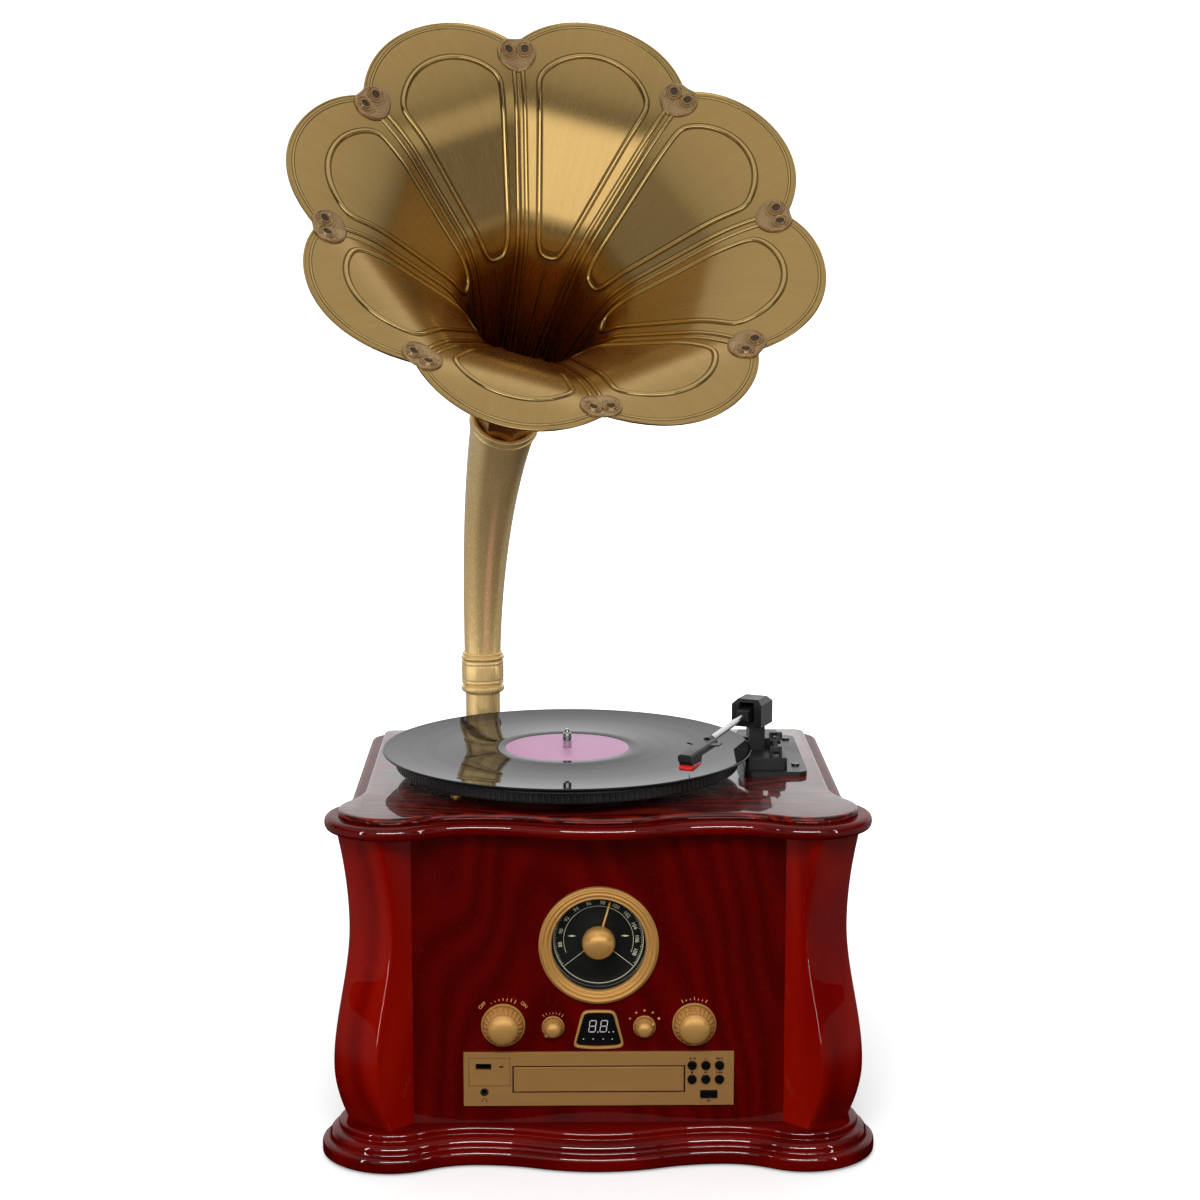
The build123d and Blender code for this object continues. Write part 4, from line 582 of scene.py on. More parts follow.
# %% The record's vinyl: rings from the distance to its centre
def ringed(name, centre, pitch, ground, depth, rough):
    """Gloss black with concentric grooves round a centre in metres, and lighter grey track rings painted in as
    sheen.
    """
    material, tree, shader, where = finish(name, coat=0.6, specular=0.0)
    local = stretched(tree, where, (1, 1, 0), (0, 0, 0), (-centre[0], -centre[1], 0))
    length = tree.nodes.new("ShaderNodeVectorMath")
    length.operation = "LENGTH"
    tree.links.new(local, length.inputs[0])
    radius = length.outputs["Value"]
    groove = sums(tree, "SINE", sums(tree, "MULTIPLY", radius, math.tau / pitch))
    flat = tree.nodes.new("ShaderNodeCombineXYZ")
    tree.links.new(radius, flat.inputs["X"])
    tracks = noise(tree, flat.outputs[0], 95.0, 1.0)
    loud = noise(tree, flat.outputs[0], 900.0, 3.0, 0.7)
    gap = between(tree, tracks, 0.46, 0.5)
    # painted sheen: the lighter grey rings in the vinyl's colour stand in for the tracks' changing reflection
    bright = tuple(c * 9 for c in ground)
    toned = shades(tree, sums(tree, "MULTIPLY", loud, gap), (0.2, ground), (0.8, bright))
    tree.links.new(toned, shader.inputs["Base Color"])
    roughness = between(tree, loud, 0.3, 0.7, rough * 0.5, rough * 2.2)
    tree.links.new(roughness, shader.inputs["Roughness"])
    height = sums(tree, "ADD", sums(tree, "MULTIPLY", groove, 0.4), loud)
    relief(tree, shader, height, depth, 0.00005)
    return material


TURNTABLE = (-24.1, -14.0)
record_centre = tuple(c * MM for c in TURNTABLE)
vinyl = ringed(
    "grooved vinyl", record_centre, pitch=0.0009, ground=(0.004, 0.004, 0.0045), depth=0.02, rough=0.09
)
print("finishes:", len(bpy.data.materials))

# %% [markdown]
# ## The cabinet's scalloped outline
# Base, nosing and deck all follow one outline: bowed in the middle, drawn in beside it, and
# swelling round each front corner. A joiner would cut it to a template and run the moulding
# cutter along it. Here the template is a chain of arcs, each leaving in the direction in
# which the last one arrived, so the edge has no kinks to catch the light.

# %% The template, as points with their outward directions
def arc_on(start, finish, ahead, steps):
    """Points of the arc from start, along ahead, to finish; and where it then points."""
    start, finish, ahead = Vector(start), Vector(finish), Vector(ahead).normalized()
    across, chord = Vector((-ahead.y, ahead.x)), finish - start
    lean = chord.dot(across)
    centre = start + across * (chord.length_squared / (2 * lean))
    sweep = 2 * math.atan2(lean, chord.dot(ahead))
    spoke = start - centre
    points = []
    for n in range(1, steps + 1):
        turn = Matrix.Rotation(sweep * n / steps, 2)
        points.append(centre + turn @ spoke)
    return points, Matrix.Rotation(sweep, 2) @ ahead


def s_bend(start, finish, ahead, share, steps):
    """Two arcs that leave and arrive in the same direction."""
    start, finish = Vector(start), Vector(finish)
    middle = start + (finish - start) * share
    first, heading = arc_on(start, middle, ahead, steps)
    return first + arc_on(middle, finish, heading, steps)[0]


print("helpers: arc_on, s_bend")

# %% The outline of the cabinet's plan
SIDE_X, BACK_Y, BACK_ROUND, EAR_ROUND = 202, 180, 26, 57
BOW, DIP, EAR_FRONT = (0, -174), (97, -158.3), (162, -175.7)
EAR_SIDE, FLARE = (219, -118.7), (SIDE_X, -58)


def template():
    """The whole outline once round, as (point, outward direction)."""
    ahead, aside = Vector(EAR_FRONT) - Vector(DIP), Vector(FLARE) - Vector(EAR_SIDE)
    right = [Vector(BOW)]
    right += s_bend(BOW, DIP, (1, 0), 0.5, 12)
    ear_share = 2 * EAR_ROUND * abs(ahead.y) / ahead.length_squared
    right += s_bend(DIP, EAR_FRONT, (1, 0), 1 - ear_share, 10)
    right += arc_on(EAR_FRONT, EAR_SIDE, (1, 0), 24)[0]
    flare_share = 2 * EAR_ROUND * abs(aside.x) / aside.length_squared
    right += s_bend(EAR_SIDE, FLARE, (0, 1), flare_share, 10)
    turn_starts = (SIDE_X, BACK_Y - BACK_ROUND)
    right += [Vector((SIDE_X, y)) for y in range(-40, 150, 20)] + [Vector(turn_starts)]
    right += arc_on(turn_starts, (SIDE_X - BACK_ROUND, BACK_Y), (0, 1), 12)[0]
    right += [Vector((x, BACK_Y)) for x in range(160, 0, -20)]
    left = [Vector((-p.x, p.y)) for p in reversed(right[1:])]
    whole = right + [Vector((0, BACK_Y))] + left
    around = []
    for n, point in enumerate(whole):
        along = whole[(n + 1) % len(whole)] - whole[n - 1]
        around.append((point, Vector((along.y, -along.x)).normalized()))
    return around


outline = template()


def moulding(profile):
    """Run a profile of (set-back, height) round the template."""
    rows = [[(*(point - out * inset), z) for point, out in outline] for inset, z in profile]
    return skin(rows, cap_first=True, cap_last=True)


print("outline points:", len(outline))

# %% [markdown]
# ## Base, nosing and deck
# The base is three boards: a thick slab with softened edges, a hollow-and-round above it and
# a small bead under the cabinet. The top is a full round nosing with the deck board standing
# back on it. Profiles are lists of (set-back, height) with the corners eased by fractions of
# a millimetre, which is what puts the thin bright line on a real lacquered edge.

# %% Run the mouldings
BASE_PROFILE = [
    (3.0, 1.5), (0.2, 3.2), (0.0, 5.0), (0.0, 10.4), (0.7, 12.6), (3.0, 14.0), (5.4, 14.3),
    (6.0, 16.2), (6.4, 19.0), (8.2, 21.8), (11.4, 23.0), (13.3, 23.2), (13.3, 27.6), (14.3, 28.9),
    (16.5, 29.3),
]
NOSING_PROFILE = [
    (18.0, 264.5), (9.6, 264.6), (7.0, 265.7), (5.8, 267.8), (5.6, 270.0), (5.8, 272.2),
    (7.0, 274.3), (9.6, 275.4), (15.4, 275.5), (17.2, 275.3),
]
DECK_PROFILE = [
    (17.6, 275.3), (16.6, 276.2), (16.5, 278.0), (16.9, 279.8), (18.1, 280.6), (20.0, 280.8),
]
piece(
    "base_mouldings", moulding(eased(BASE_PROFILE, 0.8)), "cabinet", edge_lacquer,
    ["base_plinth"],
)
piece(
    "top_nosing", moulding(eased(NOSING_PROFILE, 0.8)), "cabinet", edge_lacquer,
    ["top_moulding"],
)
piece(
    "deck_board", moulding(eased(DECK_PROFILE, 0.5)), "cabinet", deck_lacquer,
    ["deck_panel"],
)
print("pieces so far:", len(made_pieces))

# %% [markdown]
# ## Corner posts
# Each front corner has a plank set across it, sawn to an S so that it swells low down, draws
# in above, and flares out under the nosing. The face is a little crowned and its edges are
# rounded over. It is one row of points across the plank, moved out and in up its height.

# %% Posts, with the same S as the solids
POST_FOOT, POST_TALL, WAIST, POST_STEPS = 29.3, 235.2, 184.4, 60
S_POINTS = [(POST_FOOT, 0.0, 0.5), (75.5, 13.0, 0.0), (WAIST, -4.8, 0.0), (264.5, 7.5, 0.28)]
POST_ACROSS = [(-25.2, -1.8), (-23.4, -0.8), (-20, -0.35), (-10, -0.05), (0, 0)]


def sway(height):
    """How far the post's face stands out at a height."""
    for (z0, d0, m0), (z1, d1, m1) in zip(S_POINTS, S_POINTS[1:]):
        if height <= z1:
            break
    span = z1 - z0
    t = (height - z0) / span
    from_start = (2 * t**3 - 3 * t**2 + 1) * d0 + (t**3 - 2 * t**2 + t) * span * m0
    return from_start + (3 * t**2 - 2 * t**3) * d1 + (t**3 - t**2) * span * m1


def post(side):
    """A post for the left (-1) or right (1) front corner."""
    foot = Vector((182.5 * side, -137.0))
    out, along = Vector((side, -1)).normalized(), Vector((-side, -1)).normalized()
    crown = POST_ACROSS + [(-w, o) for w, o in POST_ACROSS[-2::-1]]
    rows = []
    for n in range(POST_STEPS + 1):
        z = POST_FOOT + POST_TALL * n / POST_STEPS
        face = sway(z)
        across = [(-26, -36), (-26, face - 4)]
        across += [(w, face + o) for w, o in crown]
        across += [(26, face - 4), (26, -29)]
        rows.append([(*(foot + along * w + out * o), z) for w, o in across])
    return skin(rows, ring=False)


piece("post_left", post(-1), "cabinet", post_lacquer, ["corner_post_left"])
piece("post_right", post(1), "cabinet", post_lacquer, ["corner_post_right"])
refinish(front_lacquer, "red_lacquer", "front_panel", "rear_panel")
refinish(side_lacquer, "red_lacquer", "side_panel_left", "side_panel_right")
print("post sway at the waist:", round(sway(WAIST), 1), "mm")

# %% [markdown]
# ## The flower horn
# The horn is eight sheets, each bent lengthwise like a plume but straight across, soldered
# edge to edge, so its section is an octagon that opens into eight round lobes. Subdividing an
# octagonal cone would round off the seams. A grid for each petal keeps the sheet straight
# across and leaves the seams crisp. The petals of the real horn were pressed from one die,
# so one petal is made here too, and then turned eight times.

# %% The horn's place: its axis starts where the bent pipe ends
PIPE_X, PIPE_Y, BEND_RADIUS = -97.7, 138.0, 295.0
BEND_FOOT = Vector((PIPE_X, PIPE_Y, 350.0))
BEND_TURN, AZIMUTH = math.radians(48.3), math.radians(13.8)
LEVEL, UP = Vector((math.sin(AZIMUTH), -math.cos(AZIMUTH), 0)), Vector((0, 0, 1))


def along_bend(turn):
    """A frame on the bent pipe's centre line: X across it, Z along it."""
    forward = LEVEL * BEND_RADIUS * (1 - math.cos(turn))
    centre = BEND_FOOT + forward + UP * BEND_RADIUS * math.sin(turn)
    ahead = LEVEL * math.sin(turn) + UP * math.cos(turn)
    sideways = UP.cross(LEVEL)
    frame_of = Matrix((sideways, ahead.cross(sideways), ahead)).transposed().to_4x4()
    return Matrix.Translation(centre) @ frame_of


HORN = along_bend(BEND_TURN)
SEAM_TURN, PETALS = math.radians(1.4), 8
HALF = math.pi / PETALS
print("horn starts at", [round(x, 1) for x in HORN.translation], "mm")

# %% The lengthwise curve, from the same seam points as the solid
SEAM = [
    (21.4, -14.0), (24.5, 0.0), (55.0, 130.0), (80.0, 170.0), (125.0, 212.0), (173.0, 241.0),
    (226.0, 250.5),
]
NECK_HEADING = (0.16, 1)


def lengthwise():
    """Points of the petal's curve as (distance from the axis, height)."""
    corners = [Vector((r * math.cos(HALF), h)) for r, h in SEAM]
    points, heading = [corners[0], corners[1]], Vector(NECK_HEADING)
    for start, finish in zip(corners[1:], corners[2:]):
        more, heading = arc_on(start, finish, heading, 40)
        points += more
    return points


CURVE = lengthwise()


def height_at(x):
    """Height of the sheet and its slope at a distance from the axis."""
    for a, b in zip(CURVE, CURVE[1:]):
        if x <= b.x:
            break
    t = (x - a.x) / (b.x - a.x)
    return a.y + (b.y - a.y) * t, (b.y - a.y) / (b.x - a.x)


NOTCH, REACH, SHEET = 180.5, 206.0, 1.4
notch_x, notch_y = NOTCH * math.cos(HALF), NOTCH * math.sin(HALF)
lobe_r = (notch_y**2 + (REACH - notch_x) ** 2) / (2 * (REACH - notch_x))
LOBE_AT = REACH - lobe_r
print("lobe radius:", round(lobe_r, 1), "mm")


# %% [markdown]
# ## Pressed lines on the petals
# Each sheet was pressed before it was bent: a long loop with a rounded head, a stem below it,
# and a rib beside each seam to stiffen the edge. A displaced grid would need a point every
# half millimetre to draw a line that thin. A half-round bead swept along the line, and laid
# on the sheet, gives a crisp one with few faces.

# %% The bend, and a bead laid on it
def on_sheet(x, y, lift=0.0):
    """A point of a petal that is centred on X, lifted off the sheet."""
    h, slope = height_at(x)
    normal = Vector((-slope, 0, 1)).normalized()
    return Vector((x, y, h)) + normal * lift, normal


def spaced(corners, gap, closed=False):
    """A polyline's points again, evenly spaced."""
    corners = [Vector(c) for c in corners] + ([Vector(corners[0])] if closed else [])
    lengths = [(b - a).length for a, b in zip(corners, corners[1:])]
    count = max(2, round(sum(lengths) / gap))
    points = []
    for n in range(count if closed else count + 1):
        left, k = sum(lengths) * n / count, 0
        while k < len(lengths) - 1 and left > lengths[k]:
            left -= lengths[k]
            k += 1
        points.append(corners[k].lerp(corners[k + 1], left / lengths[k]))
    return points


def relaxed(points, rounds):
    """A closed line with its corners eased by moving each point between its neighbours."""
    for _ in range(rounds):
        after = points[1:] + points[:1]
        points = [(points[n - 1] + points[n] * 2 + after[n]) / 4 for n in range(len(points))]
    return points


def neighbours(line, n, closed):
    """The points before and after one point of a line; an open line ends at its ends."""
    before = line[n - 1] if closed or n else line[n]
    after = line[(n + 1) % len(line)] if closed or n < len(line) - 1 else line[n]
    return before, after


def bead(line, width, tall, closed=False):
    """A low half-round ridge along a line of (x, y) on the petal, fading out at open ends."""
    sunk, rows = 0.15, []
    for n, spot in enumerate(line):
        before, after = neighbours(line, n, closed)
        place, normal = on_sheet(spot.x, spot.y)
        ahead = on_sheet(after.x, after.y)[0] - on_sheet(before.x, before.y)[0]
        across = normal.cross(ahead).normalized()
        fade = 1.0 if closed else min(1.0, 0.15 + 0.3 * min(n, len(line) - 1 - n))
        row = []
        for k in range(7):
            a = math.pi * k / 6
            sideways = across * (width / 2 * math.cos(a))
            row.append(place + sideways + normal * (tall * fade * math.sin(a) - sunk))
        rows.append(row)
    return strip(rows, closed)


print("helpers: on_sheet, spaced, relaxed, neighbours, bead")

# %% The lines of one petal
HEAD_R, LOOP_FOOT, FOOT_HALF = 49.5, 54.0, 9.4
RIB_FROM, RIB_SHORT, RIB_BESIDE = 30.0, 12.0, 3.6
STEM_FROM, STEM_LONG = 24.0, 29.0


def loop_line():
    """The long loop: sides beside the seams, a head that follows the rim, a small foot."""
    turns = [math.radians(-64 + 8 * n) for n in range(17)]
    head = [Vector((LOBE_AT + HEAD_R * math.cos(a), HEAD_R * math.sin(a))) for a in turns]
    corners = [Vector((LOOP_FOOT, -FOOT_HALF))] + head + [Vector((LOOP_FOOT, FOOT_HALF))]
    return relaxed(spaced(corners, 2.2, closed=True), 9)


def rib_line(side):
    """A line beside the seam, from the clip into the throat."""
    far = notch_x - RIB_SHORT
    stops = [RIB_FROM + (far - RIB_FROM) * n / 56 for n in range(57)]
    return [Vector((x, side * (x * math.tan(HALF) - RIB_BESIDE))) for x in stops]


def hem_line(inset):
    """A line inside the lobe's rim, from clip to clip."""
    r = lobe_r - inset
    limit = math.asin((notch_y - 6.5) / r)
    turns = [limit * (n / 24 - 1) for n in range(49)]
    return [Vector((LOBE_AT + r * math.cos(a), r * math.sin(a))) for a in turns]


stem_line = [Vector((STEM_FROM + STEM_LONG * n / 24, 0.0)) for n in range(25)]


def shade_strip(line, width, closed=False):
    """Painted shade at both feet of a bead: a flat strip that lies under it."""
    rows = []
    for n, spot in enumerate(line):
        before, after = neighbours(line, n, closed)
        side = Vector((before.y - after.y, after.x - before.x)).normalized() * width / 2
        rows.append([on_sheet(spot.x + side.x * u, spot.y + side.y * u, 0.1)[0] for u in (-1, 0, 1)])
    return strip(rows, closed)


# each line with its width, its height, the width of the painted shade at its feet, and whether it is closed
lines = [
    (loop_line(), 3.6, 1.6, 5.2, True),
    (rib_line(1), 3.0, 1.2, 4.0, False),
    (rib_line(-1), 3.0, 1.2, 4.0, False),
    (hem_line(5.2), 1.5, 0.5, 2.4, False),
    (stem_line, 1.8, 0.7, 2.8, False),
]
pressed = [bead(line, width, tall, closed) for line, width, tall, _, closed in lines]
painted_crease_shades = [shade_strip(line, crease, closed) for line, _, _, crease, closed in lines]
print("pressed lines on each petal:", len(pressed))

# %% Make one petal and turn it eight times
ACROSS, ALONG, LOBE = 16, 84, 10


def petal(lift):
    """A petal centred on X as a grid; lift moves it off the sheet's face."""
    rows = []
    near, far = CURVE[0].x, notch_x
    spread = [math.sin(math.pi / 2 * (2 * m / ACROSS - 1)) for m in range(ACROSS + 1)]
    for x in [near + (far - near) * (n / ALONG) for n in range(ALONG)]:
        edge = on_sheet(x, 0.0, lift)[0]
        rows.append([(edge.x, u * edge.x * math.tan(HALF), edge.z) for u in spread])
    for n in range(LOBE + 1):
        row = []
        for u in spread:
            rim = LOBE_AT + math.sqrt(max(0.0, lobe_r**2 - (u * notch_y) ** 2))
            row.append(on_sheet(far + (rim - far) * n / LOBE, u * notch_y, lift)[0])
        rows.append(row)
    return rows


def rolled_rim():
    """The lobe's edge, rolled over to a round bead."""
    rows, core, thick = [], lobe_r - 1.0, 1.15
    limit = math.asin(notch_y / lobe_r)
    for n in range(61):
        a = limit * (n / 30 - 1)
        outward = Vector((math.cos(a), math.sin(a), 0))
        place, normal = on_sheet(LOBE_AT + core * math.cos(a), core * math.sin(a), -SHEET / 2)
        outward = (outward - normal * outward.dot(normal)).normalized()
        across = [outward * math.cos(b) + normal * math.sin(b) for b in spokes(10)]
        rows.append([place + way * thick for way in across])
    return skin(rows)


def whole_petal():
    """Both faces of the sheet, the edge between them, and its rolled rim."""
    front, back = petal(0.0), petal(-SHEET)
    return together(strip(front), strip(back), strip([front[-1], back[-1]]), rolled_rim())


def round_horn(first):
    """Eight places round the horn's axis, from a first turn."""
    return [HORN @ Matrix.Rotation(first + 2 * HALF * k, 4, "Z") for k in range(PETALS)]


petal_places = round_horn(SEAM_TURN + HALF)
print("helpers: petal, rolled_rim, whole_petal, round_horn")

# %% A map for the brushing, and the horn's pieces
PER_PETAL, PER_MM = 3.1, 0.01


def lay_sheet_map(held):
    """Coordinates for the brushing: across and along each point's own petal."""
    sheet_map = held.data.uv_layers.new(name="sheet")
    back_to_petal = [place.inverted() for place in petal_places]
    to_horn = HORN.inverted()
    for face in held.data.polygons:
        middle = to_horn @ (face.center / MM)
        k = int((math.atan2(middle.y, middle.x) - SEAM_TURN) % math.tau // (2 * HALF)) % PETALS
        for loop in face.loop_indices:
            corner = held.data.vertices[held.data.loops[loop].vertex_index].co
            spot = back_to_petal[k] @ (corner / MM)
            sheet_map.data[loop].uv = (spot.y * PER_MM + k * PER_PETAL, spot.x * PER_MM)


for name, shape, finish_of, replaced, crease in [
    ("flower_horn", whole_petal(), horn_brass, ["horn_petals"], 32),
    ("pressed_lines", together(*pressed), painted_highlight_line_brass, [], 60),
    ("line_crease_painted_shade", together(*painted_crease_shades), line_painted_shade, [], 60),
]:
    all_eight = together(*[moved(place, shape) for place in petal_places])
    held = piece(name, all_eight, "horn", finish_of, replaced, crease)
    lay_sheet_map(held)
    print(name, "faces:", len(held.data.polygons))

# %% [markdown]
# ## Clips over the seams
# Where two petals meet at the rim, a small bent plate holds them. It is pressed from rose
# bronze, with a thin border, two hollow eyelets that are riveted through the petals, and a
# waved line below them. All of it is laid on a surface that follows both petals, so the
# plate folds over the seam as the real one does.

# %% A surface over the seam, and beads on it
CLIP_AT, CLIP_WIDE, CLIP_TALL, CLIP_END, CLIP_LIFT = 171.5, 31.0, 27.0, 183.5, 1.6


def on_seam(x, y, off):
    """A point over a seam on +X: each half follows its own petal's sheet."""
    side = 1 if y >= 0 else -1
    turn = Matrix.Rotation(side * HALF, 2)
    flat = turn.inverted() @ Vector((x, y))
    h, slope = height_at(flat.x)
    normal = Vector((-slope, 1)).normalized()
    lifted = turn @ Vector((flat.x + normal.x * off, flat.y))
    return lifted.x, lifted.y, h + normal.y * off


def seam_bead(line, width, tall, closed=False):
    """A low ridge along a line of (x, y) on a clip."""
    rows = []
    for n, spot in enumerate(line):
        before, after = neighbours(line, n, closed)
        ahead = (after - before).normalized()
        row = []
        for k in range(6):
            a = math.pi * k / 5
            reach, off = width / 2 * math.cos(a), CLIP_LIFT - 0.1 + tall * math.sin(a)
            row.append(on_seam(spot.x - ahead.y * reach, spot.y + ahead.x * reach, off))
        rows.append(row)
    return strip(rows, closed)


def clip_edge(inset):
    """The clip's outline: an oval cut straight at the rim, drawn in by inset."""
    points = []
    for a in spokes(72):
        x = CLIP_AT + (CLIP_TALL / 2 - inset) * math.cos(a)
        points.append(Vector((min(x, CLIP_END - inset), (CLIP_WIDE / 2 - inset) * math.sin(a))))
    return relaxed(points, 2)


print("helpers: on_seam, seam_bead, clip_edge")

# %% One clip, then eight
EYELET_AT, EYELET_APART, WAVE_R = 174.2, 6.7, 7.9
EYELET_PROFILE = [
    (6.5, -0.2), (6.4, 0.6), (6.0, 0.95), (5.6, 0.8), (5.2, 0.15), (4.6, 0.1),
    (4.2, 0.7), (3.8, 1.4), (3.2, 1.4), (2.8, 0.6), (2.7, -1.0), (0.3, -1.0),
]
HOLLOW_SHADE_PROFILE = [(2.7, 0.12), (1.6, 0.12), (0.3, 0.12)]


def eyelet(side, profile, steps):
    """Circles of (radius, height) round the left (-1) or right (1) eyelet."""
    rows = []
    for r, z in profile:
        circle = [
            (EYELET_AT + r * math.cos(a), side * EYELET_APART + r * math.sin(a))
            for a in spokes(steps)
        ]
        rows.append([on_seam(x, y, CLIP_LIFT + z) for x, y in circle])
    return skin(rows, cap_last=True)


def clip():
    """The plate with its border, its two eyelets and the waved line below them."""
    rims = [(-0.1, 0.0), (0.0, CLIP_LIFT - 0.4)]
    rims += [(inset, CLIP_LIFT) for inset in (0.35, 3.0, 7.0, 12.9)]
    plate = [[on_seam(p.x, p.y, off) for p in clip_edge(inset)] for inset, off in rims]
    parts = [skin(plate, cap_last=True), seam_bead(clip_edge(1.5), 1.3, 0.5, closed=True)]
    wave = []
    for side in (-1, 1):
        for turn in range(-58, 42, 6):
            a = math.radians(180 + side * turn)
            wave.append(Vector((EYELET_AT + WAVE_R * math.cos(a), side * EYELET_APART - WAVE_R * math.sin(a))))
        parts.append(eyelet(side, EYELET_PROFILE, 32))
    wave.sort(key=lambda spot: spot.y)
    parts.append(seam_bead(wave, 1.3, 0.55))
    return together(*parts)


def hollows():
    """Painted shade: dark discs inside a clip's two eyelets."""
    return together(*[eyelet(side, HOLLOW_SHADE_PROFILE, 24) for side in (-1, 1)])


clip_places = round_horn(SEAM_TURN)
clips = together(*[moved(place, clip()) for place in clip_places])
piece("seam_clips", clips, "horn", clip_bronze, ["horn_clips"], crease=50)
# painted shade: dark ink discs inside the eyelets stand in for the shade in their hollows
painted_hollow_bottoms = together(*[moved(place, hollows()) for place in clip_places])
piece("eyelet_painted_shade", painted_hollow_bottoms, "horn", dark_ink)
print("clips:", len(clip_places))

# %% [markdown]
# ## The bent pipe and its socket
# The pipe widens as it bends forward, and ends in a band round the horn's neck. Two beaded
# rings and a wide band hide the joint where it turns in its socket. A curve with a bevel
# would give one width all along; circles set square to the bend, each a little larger, give
# the real taper.

# %% Bent pipe
PIPE_R, MOUTH_R, TAPER, WALL = 15.7, 28.0, 1.4, 1.6


def bend_skin(thinner):
    """The pipe's skin from foot to mouth, thinner by a wall where it is the inside."""
    rows = []
    for n in range(49):
        share = n / 48
        radius = PIPE_R + (MOUTH_R - PIPE_R) * share**TAPER - thinner
        place = along_bend(BEND_TURN * share)
        circle = [Vector((radius * math.cos(a), radius * math.sin(a), 0)) for a in spokes(72)]
        rows.append([place @ spot for spot in circle])
    return skin(rows)


MOUTH_PROFILE = [
    (26.5, -11), (28.0, -10.6), (28.9, -10.0), (28.9, -7.8), (28.3, -7.2), (28.3, -3.0),
    (28.9, -2.4), (28.9, -0.4), (28.2, 0.0), (26.6, 0.0), (24.8, -1.0),
]
FOOT_PROFILE = [
    (12.5, 349.8), (17.6, 349.8), (18.7, 350.6), (18.8, 352.0), (18.0, 353.3),
    (16.9, 353.7), (17.5, 354.3), (17.6, 355.3), (16.9, 356.0), (15.6, 356.2),
]
SPIGOT_PROFILE = [(11.85, 315.8), (13.45, 315.8), (13.45, 350.0), (11.85, 350.0), (11.85, 315.8)]
upright_pipe = Matrix.Translation((PIPE_X, PIPE_Y, 0))
band = moved(HORN, turned(eased(MOUTH_PROFILE, 0.5)))
foot_ring = moved(upright_pipe, turned(eased(FOOT_PROFILE, 0.5)))
whole_pipe = together(bend_skin(0.0), bend_skin(WALL), band, foot_ring)
piece("bent_pipe", whole_pipe, "horn", pipe_brass, ["elbow_pipe"])
piece("pipe_spigot", moved(upright_pipe, turned(SPIGOT_PROFILE, 48)), "horn", pipe_brass)
print("pieces so far:", len(made_pieces))

# %% Pipe socket
SOCKET_PROFILE = [
    (13.5, 281.0), (13.5, 349.0), (17.2, 349.4), (18.2, 348.6), (18.3, 346.4), (17.8, 345.6),
    (18.2, 344.8), (18.2, 332.6), (17.8, 331.9), (18.3, 331.0), (18.3, 329.2), (17.4, 328.5),
    (16.3, 328.2), (16.4, 327.4), (18.0, 326.9), (18.8, 325.4), (18.7, 322.8), (17.6, 321.3),
    (15.2, 320.8), (14.9, 319.6), (14.9, 286.4), (15.6, 284.6), (19.2, 284.0), (22.4, 283.4),
    (23.0, 282.2), (23.0, 280.8),
]
socket = moved(upright_pipe, turned(eased(SOCKET_PROFILE, 0.6)))
piece("pipe_stand", socket, "cabinet", pipe_brass, ["pipe_socket"])
print("pipe mouth radius:", MOUTH_R, "mm")

# %% [markdown]
# ## Turntable
# The platter is black with ribs moulded round its rim, above a smaller plain tier. The ribs
# have to be real, because their teeth show against the deck. The record has a raised lip, a
# smooth strip, the groove field and a lower centre for the label.

# %% Platter, mat, record and spindle
on_turntable = Matrix.Translation((*TURNTABLE, 0))
PLATTER_PROFILE = [
    (300.4, 0, 134.0), (300.5, 0, 138.4), (300.2, 0, 139.6), (299.4, 0, 140.0), (298.6, 0, 140.0),
    (298.3, 1, 139.9), (297.9, 1, 139.9), (292.6, 1, 139.9), (292.2, 0, 139.9), (291.6, 0, 139.8),
    (290.8, 0, 139.2), (290.5, 0, 138.0), (290.6, 0, 136.6), (293.0, 0, 136.4), (297.4, 0, 136.0),
    (297.5, 0, 75.2), (286.2, 0, 75.0), (286.0, 0, 72.0), (297.5, 0, 72.0), (297.5, 0, 14.0),
    (290.0, 0, 13.9), (290.0, 0, 3.6),
]
TEETH, PER_TOOTH, VALLEY, BORE = 176, 5, 1.1, 3.6


def platter_skin():
    """Circles of (height, tooth or no tooth, radius), with the teeth cut into the rim."""
    angles = spokes(TEETH * PER_TOOTH)
    rows = []
    for z, toothed, r in PLATTER_PROFILE:
        row = []
        for n, a in enumerate(angles):
            cut = r - VALLEY * toothed * (n % PER_TOOTH in (3, 4))
            row.append((cut * math.cos(a), cut * math.sin(a), z))
        rows.append(row)
    inner = [(BORE * math.cos(a), BORE * math.sin(a), 300.4) for a in angles]
    return together(skin(rows), skin([inner, rows[0]]))


piece(
    "ribbed_platter", moved(on_turntable, platter_skin()), "platter", black_plastic,
    ["platter"],
)
MAT_PROFILE = [
    (3.7, 300.5), (133.4, 300.5), (134.0, 301.2), (133.8, 302.6), (133.0, 302.9), (52.0, 302.9),
    (51.5, 302.6), (3.7, 302.6),
]
mat = moved(on_turntable, turned(MAT_PROFILE + MAT_PROFILE[:1], 160))
piece("slip_mat", mat, "platter", rubber_black, ["platter_mat"])
RECORD_PROFILE = [
    (3.63, 303.1), (148.0, 302.9), (149.8, 303.1), (150.5, 303.8), (150.3, 304.6), (149.4, 304.9),
    (148.2, 304.8), (147.0, 304.5), (62.5, 304.4), (62.0, 304.5), (51.2, 304.6), (50.6, 304.3),
    (3.63, 304.3), (3.63, 303.1),
]
disc = moved(on_turntable, turned(RECORD_PROFILE, 256))
piece("long_player", disc, "platter", vinyl, ["record"], crease=60)
LABEL_PROFILE = [
    (3.8, 304.3), (3.8, 304.42), (16.0, 304.42), (16.4, 304.36), (17.0, 304.42), (50.0, 304.42),
    (50.4, 304.3),
]
label = moved(on_turntable, turned(LABEL_PROFILE, 128))
piece("plain_label", label, "platter", label_paper, crease=60)
